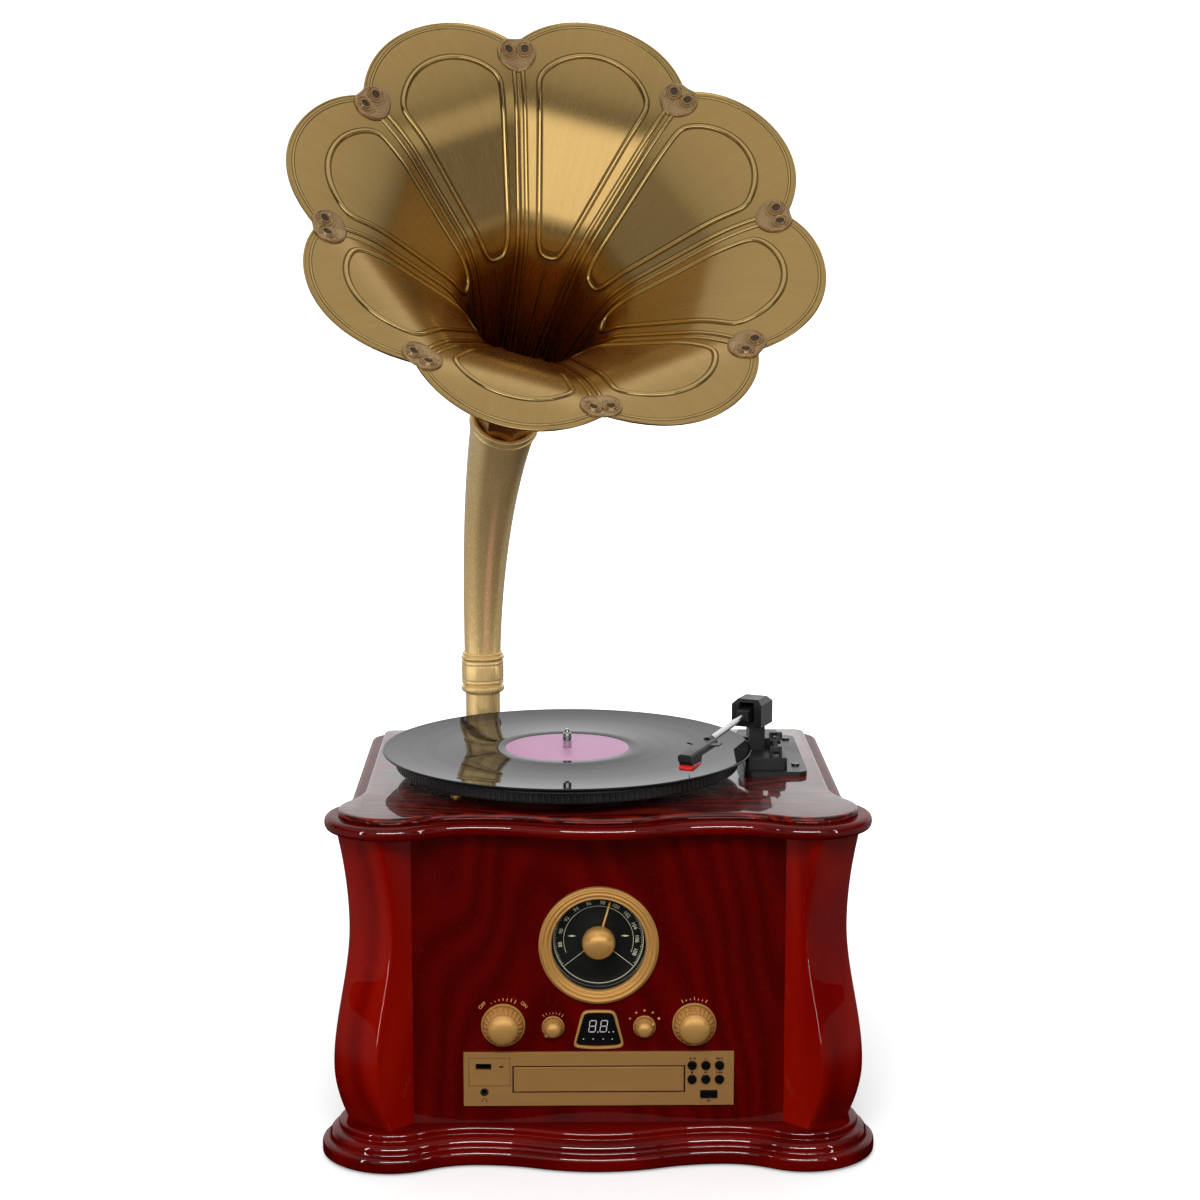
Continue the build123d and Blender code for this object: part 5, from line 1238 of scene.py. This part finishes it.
SPINDLE_PROFILE = [
    (0, 256.8), (3.55, 256.8), (3.55, 288.0), (9.0, 288.0), (9.0, 290.0), (3.55, 290.0),
    (3.55, 305.0), (3.1, 305.1), (3.1, 305.5), (3.55, 305.6), (3.55, 314.8), (3.3, 315.8),
    (2.3, 317.0), (2.1, 317.6), (2.1, 318.2), (1.4, 319.6), (0.0, 320.1),
]
pin = moved(on_turntable, turned(SPINDLE_PROFILE, 48))
piece("centre_spindle", pin, "platter", steel_finish, ["spindle"])
print("pieces so far:", len(made_pieces))

# %% [markdown]
# ## The tuning dial
# A stepped brass ring round a black glass-fronted face. The ring is turned with three round
# beads. The scale is plain: numbers for the wave band, short ticks, and thin rings. They are
# raised by a tenth of a millimetre, like thick screen ink, so they read as print at any angle.

# %% Front pieces are modelled lying down and stood on the panel
FRONT_Y = -136.7


def on_front(x, z, proud=0.0):
    """Local X stays across, local Y goes up, and local Z comes out of the panel."""
    return Matrix.Translation((x, FRONT_Y - proud, z)) @ Matrix.Rotation(math.pi / 2, 4, "X")


DIAL = on_front(0, 173.8)
BEZEL_PROFILE = [
    (39.0, -3.0), (36.9, -3.0), (36.6, -1.6), (36.7, 0.6), (37.4, 1.9), (38.3, 2.1), (38.9, 1.7),
    (39.5, 2.9), (40.6, 4.0), (41.9, 4.0), (42.6, 3.2), (43.2, 4.2), (44.2, 5.0), (45.3, 4.4),
    (45.7, 3.0), (46.4, 3.0), (47.0, 2.0), (47.0, 0.0),
]
bezel = moved(DIAL, turned(eased(BEZEL_PROFILE, 0.7), 160))
piece("dial_ring", bezel, "cabinet", bright_brass, ["dial_bezel"])
FACE_Z, INK, PANEL_INK, PLATE_INK = -14.0, 0.1, 0.06, 0.08
sleeve = turned([(36.8, -2.6), (36.6, FACE_Z), (39.0, FACE_Z), (39.0, -2.6)])
piece("dial_sleeve", moved(DIAL, sleeve), "cabinet", gloss_black)
refinish(dial_black, "dial_black", "dial_face")
print("pieces so far:", len(made_pieces))

# %% Print is raised from flat shapes
def flat_ring(inner, outer, high, first=0.0, last=360.0, steps=120):
    """A flat raised band from one clockwise angle to another, in degrees from the top."""
    rows = []
    for n in range(steps + 1):
        a = math.radians(first + (last - first) * n / steps)
        s, c = math.sin(a), math.cos(a)
        section = ((inner, 0), (inner, high), (outer, high), (outer, 0))
        rows.append([(r * s, r * c, z) for r, z in section])
    return skin(rows, cap_first=True, cap_last=True)


def sign(points, high, low=0):
    """A flat raised shape from its outline."""
    return skin([[(x, y, low) for x, y in points], [(x, y, high) for x, y in points]], cap_last=True)


def clockwise(angle):
    """A turn by degrees, as a clock's hand goes."""
    return Matrix.Rotation(-math.radians(angle), 4, "Z")


def bar(length, width, height, reach, angle):
    """A flat bar lying outwards from reach at a clockwise angle from the top."""
    w = width / 2
    corners = [(-w, reach), (w, reach), (w, reach + length), (-w, reach + length)]
    return moved(clockwise(angle), sign(corners, height))


print("helpers: flat_ring, sign, clockwise, bar")

# %% The dial's scale
TICKS, TICK_STEP, TICK_START, PAINTED_GLINT = 101, 2.48, -124, 21.0
scale = [flat_ring(34.9, 35.4, INK), flat_ring(27.2, 27.5, INK, -112, 112)]
for n in range(TICKS):
    long, reach = (1.7, 33.0) if n % 5 == 0 else (1.0, 33.6)
    scale.append(bar(long, 0.3, INK, reach, TICK_START + TICK_STEP * n))
scale += [bar(20.0, 0.35, INK, 14.5, side * 128) for side in (-1, 1)]
# painted highlight: two pale lens shapes on the dial face stand in for glints
for x in (-PAINTED_GLINT, PAINTED_GLINT):
    scale.append(sign([(x - 3.4, 3.2), (x, 3.9), (x + 3.4, 3.2), (x, 2.5)], INK))
ON_FACE = DIAL @ Matrix.Translation((0, 0, FACE_Z))
piece("dial_scale", moved(ON_FACE, together(*scale)), "cabinet", pale_ink)
print("pieces so far:", len(made_pieces))

# %% Numbers are made from the built-in letters and turned into mesh
def number(text, size, matrix, thick):
    """A number lying on a local XY plane, centred, as a shape in millimetres."""
    curve = bpy.data.curves.new("number", "FONT")
    curve.body, curve.size, curve.extrude = text, size, thick / 2
    curve.align_x, curve.align_y, curve.resolution_u = "CENTER", "CENTER", 3
    held = bpy.data.objects.new("number", curve)
    bpy.context.scene.collection.objects.link(held)
    bpy.context.view_layer.update()
    mesh = bpy.data.meshes.new_from_object(held)
    shape = [v.co.copy() for v in mesh.vertices], [tuple(p.vertices) for p in mesh.polygons]
    bpy.data.objects.remove(held)
    bpy.data.meshes.remove(mesh)
    return moved(matrix, shape)


numbers = []
for n, value in enumerate(range(88, 109, 2)):
    place = clockwise(-97 + 20.6 * n) @ Matrix.Translation((0, 30.2, 0.06))
    numbers.append(number(str(value), 4.3, place, INK))
piece("dial_numbers", moved(ON_FACE, together(*numbers)), "cabinet", pale_ink, crease=20)
print("pieces so far:", len(made_pieces))

# %% The hand keeps its solid shape; its cap gets a round dome
refinish(gold_ink, "polished_brass", "dial_pointer")
DOME_R, DOME_FOOT, DOME_TALL = 13.0, -3.6, 7.1
CAP_PROFILE = [
    (0.0, FACE_Z), (2.0, FACE_Z), (2.0, -10.8), (11.9, -10.8), (12.9, -9.0), (13.3, -5.2),
    (DOME_R, DOME_FOOT),
]
climb = [math.radians(90 - 7.5 * n) for n in range(13)]
dome = [(DOME_R * math.sin(a), DOME_FOOT + DOME_TALL * math.cos(a)) for a in climb]
cap = moved(DIAL, turned(CAP_PROFILE + dome))
piece("pointer_cap", cap, "dial_hand", bright_brass, ["dial_cap"])
print("dial numbers:", len(numbers))

# %% [markdown]
# ## Knobs
# Each knob is a fluted brass skirt with a domed cap, in a collar on the panel. The flutes are
# a wave on the radius of a turned profile, deep on the skirt and gone at the cap.

# %% Fluted knobs
SEAT, BIG_SKIRT, ROUND_LAND, DOME_FROM, DOME_WIDE = 2.1, 15.6, 0.6, 0.67, 0.98
FLUTES = [
    (0.985, 0.0, 0.5), (1.0, 0.05, 0.9), (0.99, 0.12, 1.2), (0.93, 0.32, 1.5),
    (0.86, 0.42, 1.6), (0.8, 0.48, 1.2), (0.76, 0.5, 0.4),
]
LIP = [(0.82, 0.5), (0.8, 0.52), (0.84, 0.55), (0.95, 0.57), (0.98, 0.61), (0.98, 0.67)]


def fluted(profile, teeth, steps):
    """A turned profile of (radius, height, flute depth) with teeth round it."""
    rows = []
    for r, z, depth in profile:
        row = []
        for n, a in enumerate(spokes(steps)):
            wave = (0.5 - 0.5 * math.cos(math.tau * teeth * n / steps)) ** ROUND_LAND
            row.append(((r - depth * wave) * math.cos(a), (r - depth * wave) * math.sin(a), z))
        rows.append(row)
    return skin(rows)


def knob(skirt, cap, tall, teeth, shaft):
    """A whole knob; FLUTES and LIP are shares of its skirt, its cap and its height."""
    rise = tall - SEAT
    profile = [(shaft, -20.0, 0), (shaft, 2.2, 0)]
    profile += [(skirt * r, SEAT + rise * z, depth * skirt / BIG_SKIRT) for r, z, depth in FLUTES]
    profile += [(cap * r, SEAT + rise * z, 0.0) for r, z in LIP]
    for n in range(1, 11):
        a = math.radians(90 - 9 * n)
        height = SEAT + rise * DOME_FROM + rise * (1 - DOME_FROM) * math.cos(a)
        profile.append((cap * DOME_WIDE * math.sin(a), height, 0))
    return fluted(profile, teeth, teeth * 10)


def knob_finish(name, x, z):
    """Brass with turning lines round this knob's own axis."""
    return lathed_metal(name, (0.8, 0.44, 0.135), (0.72, 0.39, 0.115), 0.32, (x * MM, -z * MM, 0))


def nub(aim):
    """The small pointer on a small knob's skirt, aimed clockwise from the top."""
    foot = [(-1.1, -1.1), (1.1, -1.1), (1.1, 0.7), (0.5, 1.1), (-0.5, 1.1), (-1.1, 0.7)]
    tops = [4.2, 4.2, 3.8, 3.6, 3.6, 3.8]
    rows = [[(x, y, 0) for x, y in foot], [(x, y, z) for (x, y), z in zip(foot, tops)]]
    place = clockwise(aim) @ Matrix.Translation((0, 7.6, 2.3))
    return moved(place, skin(rows, cap_first=True, cap_last=True))


print("helpers: fluted, knob, knob_finish, nub")

# %% Four knobs and their collars
BIG_AT, SMALL_AT = (74.8, 109.3), (35.8, 107.6)
big_knob, small_knob = knob(BIG_SKIRT, 12.4, 16.0, 24, 3.0), knob(7.6, 6.0, 11.0, 14, 2.0)
for name, body, side, (x, z), shape in [
    ("volume_cap", "volume", -1, BIG_AT, big_knob),
    ("tuning_cap", "tuning", 1, BIG_AT, big_knob),
    ("tone_cap", "tone", -1, SMALL_AT, together(small_knob, nub(-135.0))),
    ("selector_cap", "selector", 1, SMALL_AT, together(small_knob, nub(60.0))),
]:
    brass = knob_finish(name + " brass", side * x, z)
    placed = moved(on_front(side * x, z), shape)
    piece(name, placed, body, brass, [body + "_knob"], crease=50)

collars = []
for (x, z), r, bore in [(BIG_AT, 17.25, 15.9), (SMALL_AT, 8.85, 7.9)]:
    inside = [(3.1, 0.0), (3.1, 0.4), (bore, 0.4), (bore, 1.3), (bore + 0.3, 1.8)]
    outside = [(r - 0.5, 1.8), (r, 1.2), (r, 0.0)]
    collars += [moved(on_front(side * x, z), turned(inside + outside)) for side in (-1, 1)]
piece("collars", together(*collars), "cabinet", bright_brass, ["knob_collars"])
print("pieces so far:", len(made_pieces))

# %% [markdown]
# ## Display, faceplate signs and labels
# The display is a rounded four-sided brass frame, narrow at the top, with two figures built
# from seven bars each. Growing ticks round a knob, dots, and the usual play and stop shapes
# tell the hand what each control does. They are raised by less than a tenth of a millimetre.

# %% Display frame
BULGE = 1.6


def plate_outline(inset):
    """The display's outline with its corners rounded, drawn in by inset."""
    half = 15.0 - inset
    low, high = 20.5 - inset * 1.1, 13.0 - inset * 0.9
    below, deepest = -half - BULGE * 0.75, -half - BULGE
    corners = [(-low, -half), (-low * 0.5, below), (0, deepest), (low * 0.5, below), (low, -half)]
    corners += [(high, half), (0, half + 0.5), (-high, half)]
    return eased(corners, 5.4 - inset, closed=True, steps=6)


def framed(profile):
    """Run a profile of (inset, height) round the display."""
    return skin([[(p.x, p.y, z) for p in plate_outline(inset)] for inset, z in profile])


DISPLAY = on_front(0, 106.0)
FRAME_PROFILE = [
    (0.0, 0.0), (0.0, 1.3), (0.35, 2.0), (1.0, 2.4), (1.7, 2.3), (2.2, 1.7), (2.4, 0.8),
    (2.4, -1.0),
]
frame_ring = moved(DISPLAY, framed(FRAME_PROFILE))
piece("window_frame", frame_ring, "cabinet", bright_brass, ["display_frame"])
refinish(gloss_black, "display_glass", "display_window")
GLASS_Z = (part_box("display_window")[0].y / MM - FRONT_Y) * -1
print("display glass stands", round(GLASS_Z, 2), "mm proud of the panel")

# %% Figures and dots behind the glass
FIGURE_TALL, FIGURE_WIDE, STROKE, STROKE_GAP, SLANT = 9.2, 5.0, 0.68, 0.2, 0.14


def bar_figure(x, y):
    """A figure eight of seven bars, leaning a little."""
    shapes, t, half, aside = [], STROKE / 2, FIGURE_TALL / 2, FIGURE_WIDE / 2
    level = [((0, cy), False) for cy in (half, 0, -half)]
    upright = [((cx, cy), True) for cy in (half / 2, -half / 2) for cx in (-aside, aside)]
    for (cx, cy), stands in level + upright:
        long = (half if stands else FIGURE_WIDE) / 2 - STROKE_GAP
        hexagon = [
            (-long, 0), (-long + t, t), (long - t, t), (long, 0), (long - t, -t), (-long + t, -t),
        ]
        if stands:
            hexagon = [(-b, a) for a, b in hexagon]
        leaning = [(x + cx + a + SLANT * (cy + b), y + cy + b) for a, b in hexagon]
        shapes.append(sign(leaning, GLASS_Z + PANEL_INK, GLASS_Z))
    return shapes


def dot(x, y, r):
    """A round lit dot on the display's glass."""
    return moved(
        Matrix.Translation((x, y, GLASS_Z)), turned([(r, 0), (r, PANEL_INK), (0, PANEL_INK)], 20),
    )


figures = bar_figure(-4.9, 2.4) + bar_figure(3.9, 2.4)
dots = [dot(-0.7, -2.4, 0.55), dot(8.0, -2.4, 0.55), dot(11.4, -2.2, 0.5)]
dots += [dot(x, -8.0, 0.55) for x in (-12.0, -4.4, 3.4, 10.6)]
lit, tree, shader, where = finish("lit figures")
glimmer = use(tree, marks, where, Scale=30.0)
for socket, dim, bright in (
    ("Base Color", (0.4, 0.36, 0.38), (0.5, 0.46, 0.48)),
    ("Emission Color", (0.5, 0.46, 0.5), (0.62, 0.58, 0.62)),
):
    tree.links.new(shades(tree, glimmer["Smudge"], (0.0, dim), (1.0, bright)), shader.inputs[socket])
shader.inputs["Emission Strength"].default_value = 0.1
piece("display_figures", moved(DISPLAY, together(*figures, *dots)), "cabinet", lit)
print("pieces so far:", len(made_pieces))

# %% Faceplate: thin dark frame, painted highlight round its edge, painted shade round the drawer, drawer border and signs
refinish(plate_bronze, "plate_bronze", "faceplate", "disc_drawer")
PLATE_Z, DRAWER_Z = 2.6, 3.4


def line_frame(x0, x1, z0, z1, width, proud):
    """A thin raised rectangle on the front, from its edges in X and Z."""
    rows = []
    for off, z in ((0, -0.1), (0, proud), (width, proud), (width, -0.1)):
        left, right, bottom, top = x0 + off, x1 - off, z0 + off, z1 - off
        rows.append([(left, bottom, z), (right, bottom, z), (right, top, z), (left, top, z)])
    return skin(rows)


def frame_round(low, high, grow_x, grow_z, width, proud):
    """A line frame round a solid's own box, grown by a little."""
    return line_frame(low.x - grow_x, high.x + grow_x, low.z - grow_z, high.z + grow_z, width, proud)


ON_PLATE, ON_DRAWER = on_front(0, 0, PLATE_Z), on_front(0, 0, DRAWER_Z)
plate_box = [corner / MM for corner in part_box("faceplate")]
drawer_box = [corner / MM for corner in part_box("disc_drawer")]
socket_frame = line_frame(-102.0, -69.4, 60.2, 83.4, 0.35, 0.12)
piece("plate_frames", moved(ON_PLATE, socket_frame), "cabinet", dark_ink)
# painted highlight: a thin band of brighter brass round the plate's edge stands in for the light along its
# bevel
rim = frame_round(*plate_box, -0.1, -0.1, 0.55, 0.1)
piece("plate_painted_edge_highlight", moved(ON_PLATE, rim), "cabinet", bright_brass)
# painted shade: a black frame on the plate round the drawer stands in for the shade in the gap
painted_gap_shade = frame_round(*drawer_box, 1.1, 0.9, 1.0, 0.05)
piece("drawer_gap_painted_shade", moved(ON_PLATE, painted_gap_shade), "cabinet", gloss_black)
border = line_frame(-65.4, 65.4, 57.0, 74.4, 0.5, 0.15)
piece("drawer_border", moved(ON_DRAWER, border), "drawer", plate_bronze)
print("pieces so far:", len(made_pieces))

# %% Signs over the keys and sockets
UPPER, LOWER, THIN = 82.0, 70.6, 0.7


def at(x, y, shape):
    """The shape, moved over the plate."""
    return moved(Matrix.Translation((x, y, 0)), shape)


def triangle(way, size=1.1):
    """A play shape that points right (1) or left (-1)."""
    return sign([(-way * size, size), (way * size, 0), (-way * size, -size)][::way], PLATE_INK)


def slab(width, tall):
    """A flat oblong."""
    w, h = width / 2, tall / 2
    return sign([(-w, -h), (w, -h), (w, h), (-w, h)], PLATE_INK)


signs = [at(72.4, UPPER, triangle(1))] + [at(x, UPPER, slab(THIN, 2.0)) for x in (74.6, 75.6)]
signs += [at(83.95, UPPER, flat_ring(0.7, 1.1, PLATE_INK, 40, 320, 24))]
signs += [at(93.2, UPPER, triangle(1)), at(95.0, UPPER, triangle(1)), at(96.6, UPPER, slab(THIN, 2.0))]
signs += [at(73.2, LOWER, slab(2.0, 2.0))] + [at(x, LOWER, slab(THIN, 1.6)) for x in (83.0, 84.0, 85.0)]
signs += [at(92.6, LOWER, slab(THIN, 2.0))] + [at(x, LOWER, triangle(-1)) for x in (94.2, 96.0)]
signs += [
    at(86.4, 47.6, sign([(-1.4, -0.3), (1.4, -0.3), (0, 1.3)], PLATE_INK)),
    at(86.4, 46.6, slab(2.8, 0.5)),
]
signs += [at(-89.8, 48.4, flat_ring(1.5, 1.9, PLATE_INK, -90, 90, 24))]
signs += [at(x, 48.0, slab(0.9, 1.6)) for x in (-91.5, -88.1)] + [at(-76.4, 76.0, slab(3.4, 1.5))]
piece("plate_signs", moved(ON_PLATE, together(*signs)), "cabinet", dark_ink)
print("pieces so far:", len(made_pieces))

# %% Printed marks round the knobs, on the lacquer
ON_PANEL, BIG_REACH, SMALL_REACH = on_front(0, 0), 19.6, 10.6
prints = []
for n in range(7):
    aim = -27 + 9 * n
    prints.append(at(-BIG_AT[0], BIG_AT[1], bar(0.8 + 0.4 * n, 0.6, PANEL_INK, BIG_REACH, aim)))
    long = 2.6 if n % 3 == 0 else 1.4
    prints.append(at(*BIG_AT, bar(long, 0.6, PANEL_INK, BIG_REACH, aim)))
for n in range(7):
    long = 1.2 + 0.5 * abs(n - 3) / 1.5
    prints.append(at(-SMALL_AT[0], SMALL_AT[1], bar(long, 0.4, PANEL_INK, SMALL_REACH, -39 + 13 * n)))
for n in range(5):
    knob_turned = Matrix.Translation((*SMALL_AT, 0)) @ clockwise(-60 + 30 * n)
    place = knob_turned @ Matrix.Translation((0, 13.0, 0))
    prints.append(moved(place, flat_ring(0.0, 0.9, PANEL_INK, steps=20)))
for word, x, y, lean in (("OFF", -91.0, 125.2, -44), ("ON", -58.4, 125.6, 44)):
    place = Matrix.Translation((x, y, PANEL_INK / 2)) @ clockwise(lean)
    prints.append(number(word, 4.0, place, PANEL_INK))
piece("panel_print", moved(ON_PANEL, together(*prints)), "cabinet", gold_ink)
print("signs and marks:", len(signs) + len(prints))

# %% [markdown]
# ## The rest keeps its solid shape
# Feet, sockets, keys, grilles, the arm and what sits inside are right as they are. They get
# their finishes here. Small edges are softened with a bevel modifier, because a real moulded
# or pressed edge always shows a line of light.

# %% Finishes for the carried-over solids
refinish(rubber_black, "rubber", "rubber_feet", "drive_belt")
refinish(
    black_plastic, "black_plastic", "tonearm_base", "arm_turret", "arm_block", "headshell",
    "cartridge", "arm_clip", "cue_lifter", "socket_plate", "drawer_housing", "speaker_grilles",
    "headphone_socket", "spindle_bearing",
)
refinish(steel_finish, "steel", "arm_tube")
refinish(bright_brass, "polished_brass", "deck_screw")
refinish(dark_steel_finish, "steel", "usb_socket")
refinish(dark_steel_finish, "dark_steel", "black_screws", "motor", "motor_pulley")
refinish(board_green, "board_green", "main_board")
refinish(cone_paper, "dial_black", "speaker_drivers")
keys = [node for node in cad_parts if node.endswith("_button")]
refinish(gloss_black, "black_plastic", *keys)
edge_widths = {
    "tonearm_base": 0.5, "arm_turret": 0.4, "arm_block": 0.3, "headshell": 0.2, "cartridge": 0.25,
    "arm_clip": 0.2, "faceplate": 0.15, "disc_drawer": 0.15, "speaker_grilles": 0.3, "socket_plate": 0.2,
    **{key: 0.2 for key in keys},
}
for node, width in edge_widths.items():
    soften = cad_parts[node].modifiers.new("soft edges", "BEVEL")
    soften.width, soften.segments = width * MM, 2
    soften.limit_method, soften.angle_limit = "ANGLE", math.radians(40)
print("carried-over solids softened:", len(edge_widths))

# %% [markdown]
# ## The red stylus holder
# The needle sits in a bright red plastic wedge that is pushed onto the cartridge from the
# front. It wraps the cartridge's lower edge, so it stands a little proud of its sides. Rings
# along the arm, each a rounded rectangle, give the wedge its lean and its blunt nose.

# %% Red wedge and needle
TURRET, ARM_SWING, ARM_TILT = (133.0, 34.0, 0), math.radians(-114.2), math.radians(3.4)
AT_PIVOT = Matrix.Translation(TURRET) @ Matrix.Rotation(ARM_SWING, 4, "Z")
DOWN_ARM = AT_PIVOT @ Matrix.Translation((9.0, 0, 326.0)) @ Matrix.Rotation(ARM_TILT, 4, "Y")
NEEDLE_AT, NEEDLE_PROFILE = 143.0, [(0.9, -10.9), (0.7, -11.4), (0.15, -12.1)]
# distance along the arm, half the width, top and bottom
WEDGE_RINGS = [
    (131.0, 5.7, -7.9, -9.2), (132.5, 5.9, -7.4, -10.1), (141.0, 5.9, -6.9, -11.0),
    (146.0, 5.9, -6.6, -11.2),
    (149.6, 5.7, -6.6, -10.9), (151.0, 5.0, -7.6, -10.3), (151.5, 4.4, -8.4, -9.8),
]
wedge_rows = []
for along, half, high, low in WEDGE_RINGS:
    corners = [(-half, high), (half, high), (half, low), (-half, low)]
    wedge_rows.append([(along, p.x, p.y) for p in eased(corners, 0.7, closed=True, steps=3)])
needle = []
for r, z in NEEDLE_PROFILE:
    needle.append([(NEEDLE_AT + r * math.cos(a), r * math.sin(a), z) for a in spokes(10)])
wedge = together(skin(wedge_rows, cap_first=True, cap_last=True), skin(needle, cap_last=True))
piece("red_stylus", moved(DOWN_ARM, wedge), "arm", red_plastic, ["stylus"], crease=45)
print("pieces so far:", len(made_pieces))

# %% [markdown]
# ## Studio
# The photograph was made against white, yet the lacquer's front mirrors something dark and
# carries only thin, crisp lines of light. So the pale floor and backdrop are there for the
# eye alone: a glossy surface meets a dark floor, a dim horizon and a ceiling that grows
# lighter upwards. The soft boxes are separate, and each one draws its own line of light.

# %% Pale floor, dark in reflections
def grey(value):
    """A plain grey."""
    return (value, value, value)


def new_nodes(tree, *kinds):
    """Several new shader nodes at once."""
    return [tree.nodes.new("ShaderNode" + kind) for kind in kinds]


floor_mesh = bpy.data.meshes.new("floor")
FLOOR = 12
corners = [(-FLOOR, -FLOOR, 0), (FLOOR, -FLOOR, 0), (FLOOR, FLOOR, 0), (-FLOOR, FLOOR, 0)]
floor_mesh.from_pydata(corners, [], [(0, 1, 2, 3)])
floor = bpy.data.objects.new("floor", floor_mesh)
bpy.context.scene.collection.objects.link(floor)
pale, tree, shader, where = finish("pale floor")
soft = use(tree, marks, where, Scale=1.5)
tree.links.new(
    shades(tree, soft["Smudge"], (0.0, grey(0.86)), (1.0, grey(0.88))),
    shader.inputs["Base Color"],
)
shader.inputs["Roughness"].default_value = 0.6
reach = tree.nodes.new("ShaderNodeVectorMath")
reach.operation = "LENGTH"
tree.links.new(where, reach.inputs[0])
away = between(tree, reach.outputs["Value"], 0.2, 1.1)
tree.links.new(shades(tree, away, (0.0, grey(0.3)), (1.0, grey(1.0))), shader.inputs["Emission Color"])
shader.inputs["Emission Strength"].default_value = 1.0
shade, ray, choose, place = new_nodes(tree, "Emission", "LightPath", "MixShader", "SeparateXYZ")
tree.links.new(where, place.inputs[0])
aside = between(tree, sums(tree, "ABSOLUTE", place.outputs["X"]), 0.35, 0.75, 0.004, 0.4)
tree.links.new(aside, shade.inputs["Strength"])
tree.links.new(ray.outputs["Is Camera Ray"], choose.inputs[0])
tree.links.new(shade.outputs[0], choose.inputs[1])
tree.links.new(shader.outputs[0], choose.inputs[2])
tree.links.new(choose.outputs[0], tree.nodes["Material Output"].inputs["Surface"])
floor_mesh.materials.append(pale)
floor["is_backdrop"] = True
print("floor:", 2 * FLOOR, "m across")

# %% White backdrop, dim horizon and light ceiling
world = bpy.data.worlds.new("studio")
bpy.context.scene.world = world
world.use_nodes = True
tree = world.node_tree
tree.nodes.clear()
seen, room, ray, choose = new_nodes(tree, "Background", "Background", "LightPath", "MixShader")
end, compass = new_nodes(tree, "OutputWorld", "TexCoord")
seen.inputs["Color"].default_value = (1, 1, 1, 1)
seen.inputs["Strength"].default_value = 1.4
way = tree.nodes.new("ShaderNodeSeparateXYZ")
tree.links.new(compass.outputs["Generated"], way.inputs[0])
CEILING = [(0.0, grey(0.01)), (0.25, grey(0.03)), (0.55, grey(0.45)), (1.0, grey(0.6))]
ceiling = shades(tree, way.outputs["Z"], *CEILING)
back_wall = between(tree, way.outputs["Y"], 0.3, 0.85)
tree.links.new(blended(tree, back_wall, ceiling, grey(1.2)), room.inputs["Color"])
room.inputs["Strength"].default_value = 1.0
tree.links.new(ray.outputs["Is Camera Ray"], choose.inputs[0])
tree.links.new(room.outputs[0], choose.inputs[1])
tree.links.new(seen.outputs[0], choose.inputs[2])
tree.links.new(choose.outputs[0], end.inputs["Surface"])
bpy.context.scene.view_settings.view_transform = "Standard"


def soft_box(name, place, target, wide, tall, power, mirrored=True, lit=True):
    """A rectangular light aimed at a point; it may skip glossy or matt reflection."""
    light = bpy.data.lights.new(name, "AREA")
    light.shape, light.size, light.size_y, light.energy = "RECTANGLE", wide, tall, power
    held = bpy.data.objects.new(name, light)
    held.location = place
    held.rotation_euler = (Vector(target) - Vector(place)).to_track_quat("-Z", "Y").to_euler()
    held.visible_glossy, held.visible_diffuse = mirrored, lit
    bpy.context.scene.collection.objects.link(held)
    return held


def only_on(title, names, *lights):
    """Let lights reach only the named pieces."""
    lit_pieces = bpy.data.collections.new(title)
    for name in names:
        lit_pieces.objects.link(bpy.data.objects[name])
    for light in lights:
        light.light_linking.receiver_collection = lit_pieces


print("backdrop nodes:", len(tree.nodes))

# %% Lights for everything
# a high key and a low fill only light; the wide box is also mirrored
soft_box("key", (-0.2, -2.9, 2.4), (0, 0, 0.3), 1.6, 1.2, 88, mirrored=False)
soft_box("low fill", (-1.2, -2.2, 0.3), (0, 0, 0.4), 0.8, 0.4, 12, mirrored=False)
soft_box("front box", (0.0, -3.0, 0.88), (0, 0, 0.82), 4.2, 1.0, 19)
print("lights so far:", len(bpy.data.lights))

# %% Cards that one kind of piece mirrors, as a photographer sets them for each material
MOULDED_EDGES = ("base_mouldings", "top_nosing")
left_strip = soft_box("left strip", (-1.7, -1.5, 0.7), (0, 0, 0.3), 0.12, 1.5, 20, lit=False)
right_strip = soft_box("right strip", (1.7, -1.5, 0.7), (0, 0, 0.3), 0.12, 1.5, 17, lit=False)
edge_box = soft_box("edge box", (0.0, -2.6, 1.45), (0, 0, 0.3), 2.2, 0.5, 200, lit=False)
only_on("lacquered edges", MOULDED_EDGES, edge_box)
only_on("glossy wood", MOULDED_EDGES + ("post_left", "post_right"), left_strip, right_strip)
low_glow = soft_box("low glow", (0.0, -2.6, 0.3), (0, 0, 0.8), 2.4, 0.7, 2.0, lit=False)
horn_card = soft_box("horn card", (2.2, -1.75, 1.4), (-0.1, -0.1, 0.8), 1.2, 0.9, 2.2, lit=False)
only_on("brass horn", ("flower_horn", "pressed_lines", "line_crease_painted_shade"), low_glow, horn_card)
pipe_cards = [
    soft_box(side + " pipe card", (across, -0.5, 0.12), (-0.1, 0.1, 0.45), 1.8, 1.6, power, lit=False)
    for side, across, power in (("left", -1.5, 11.0), ("right", 1.3, 10.0))
]
only_on("brass pipe", ("bent_pipe", "pipe_stand"), *pipe_cards)

# %% Camera, solved from the photograph's own edges
camera = bpy.data.cameras.new("camera")
camera.lens, camera.sensor_width = 76.218, 36.0
viewer = bpy.data.objects.new("camera", camera)
viewer.location = (-0.02594, -2.04553, 0.75950)
viewer.rotation_euler = (math.radians(80.678), 0, math.radians(-0.8076))
bpy.context.scene.collection.objects.link(viewer)
bpy.context.scene.camera = viewer
print("camera lens:", round(camera.lens, 1), "mm")

# %% Sizes
visual_box = [list(corner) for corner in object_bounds()]
print("pieces made:", len(made_pieces))
for title, box in (("cad box", cad_box), ("visual box", visual_box)):
    print(title, [[round(v, 4) for v in corner] for corner in box])
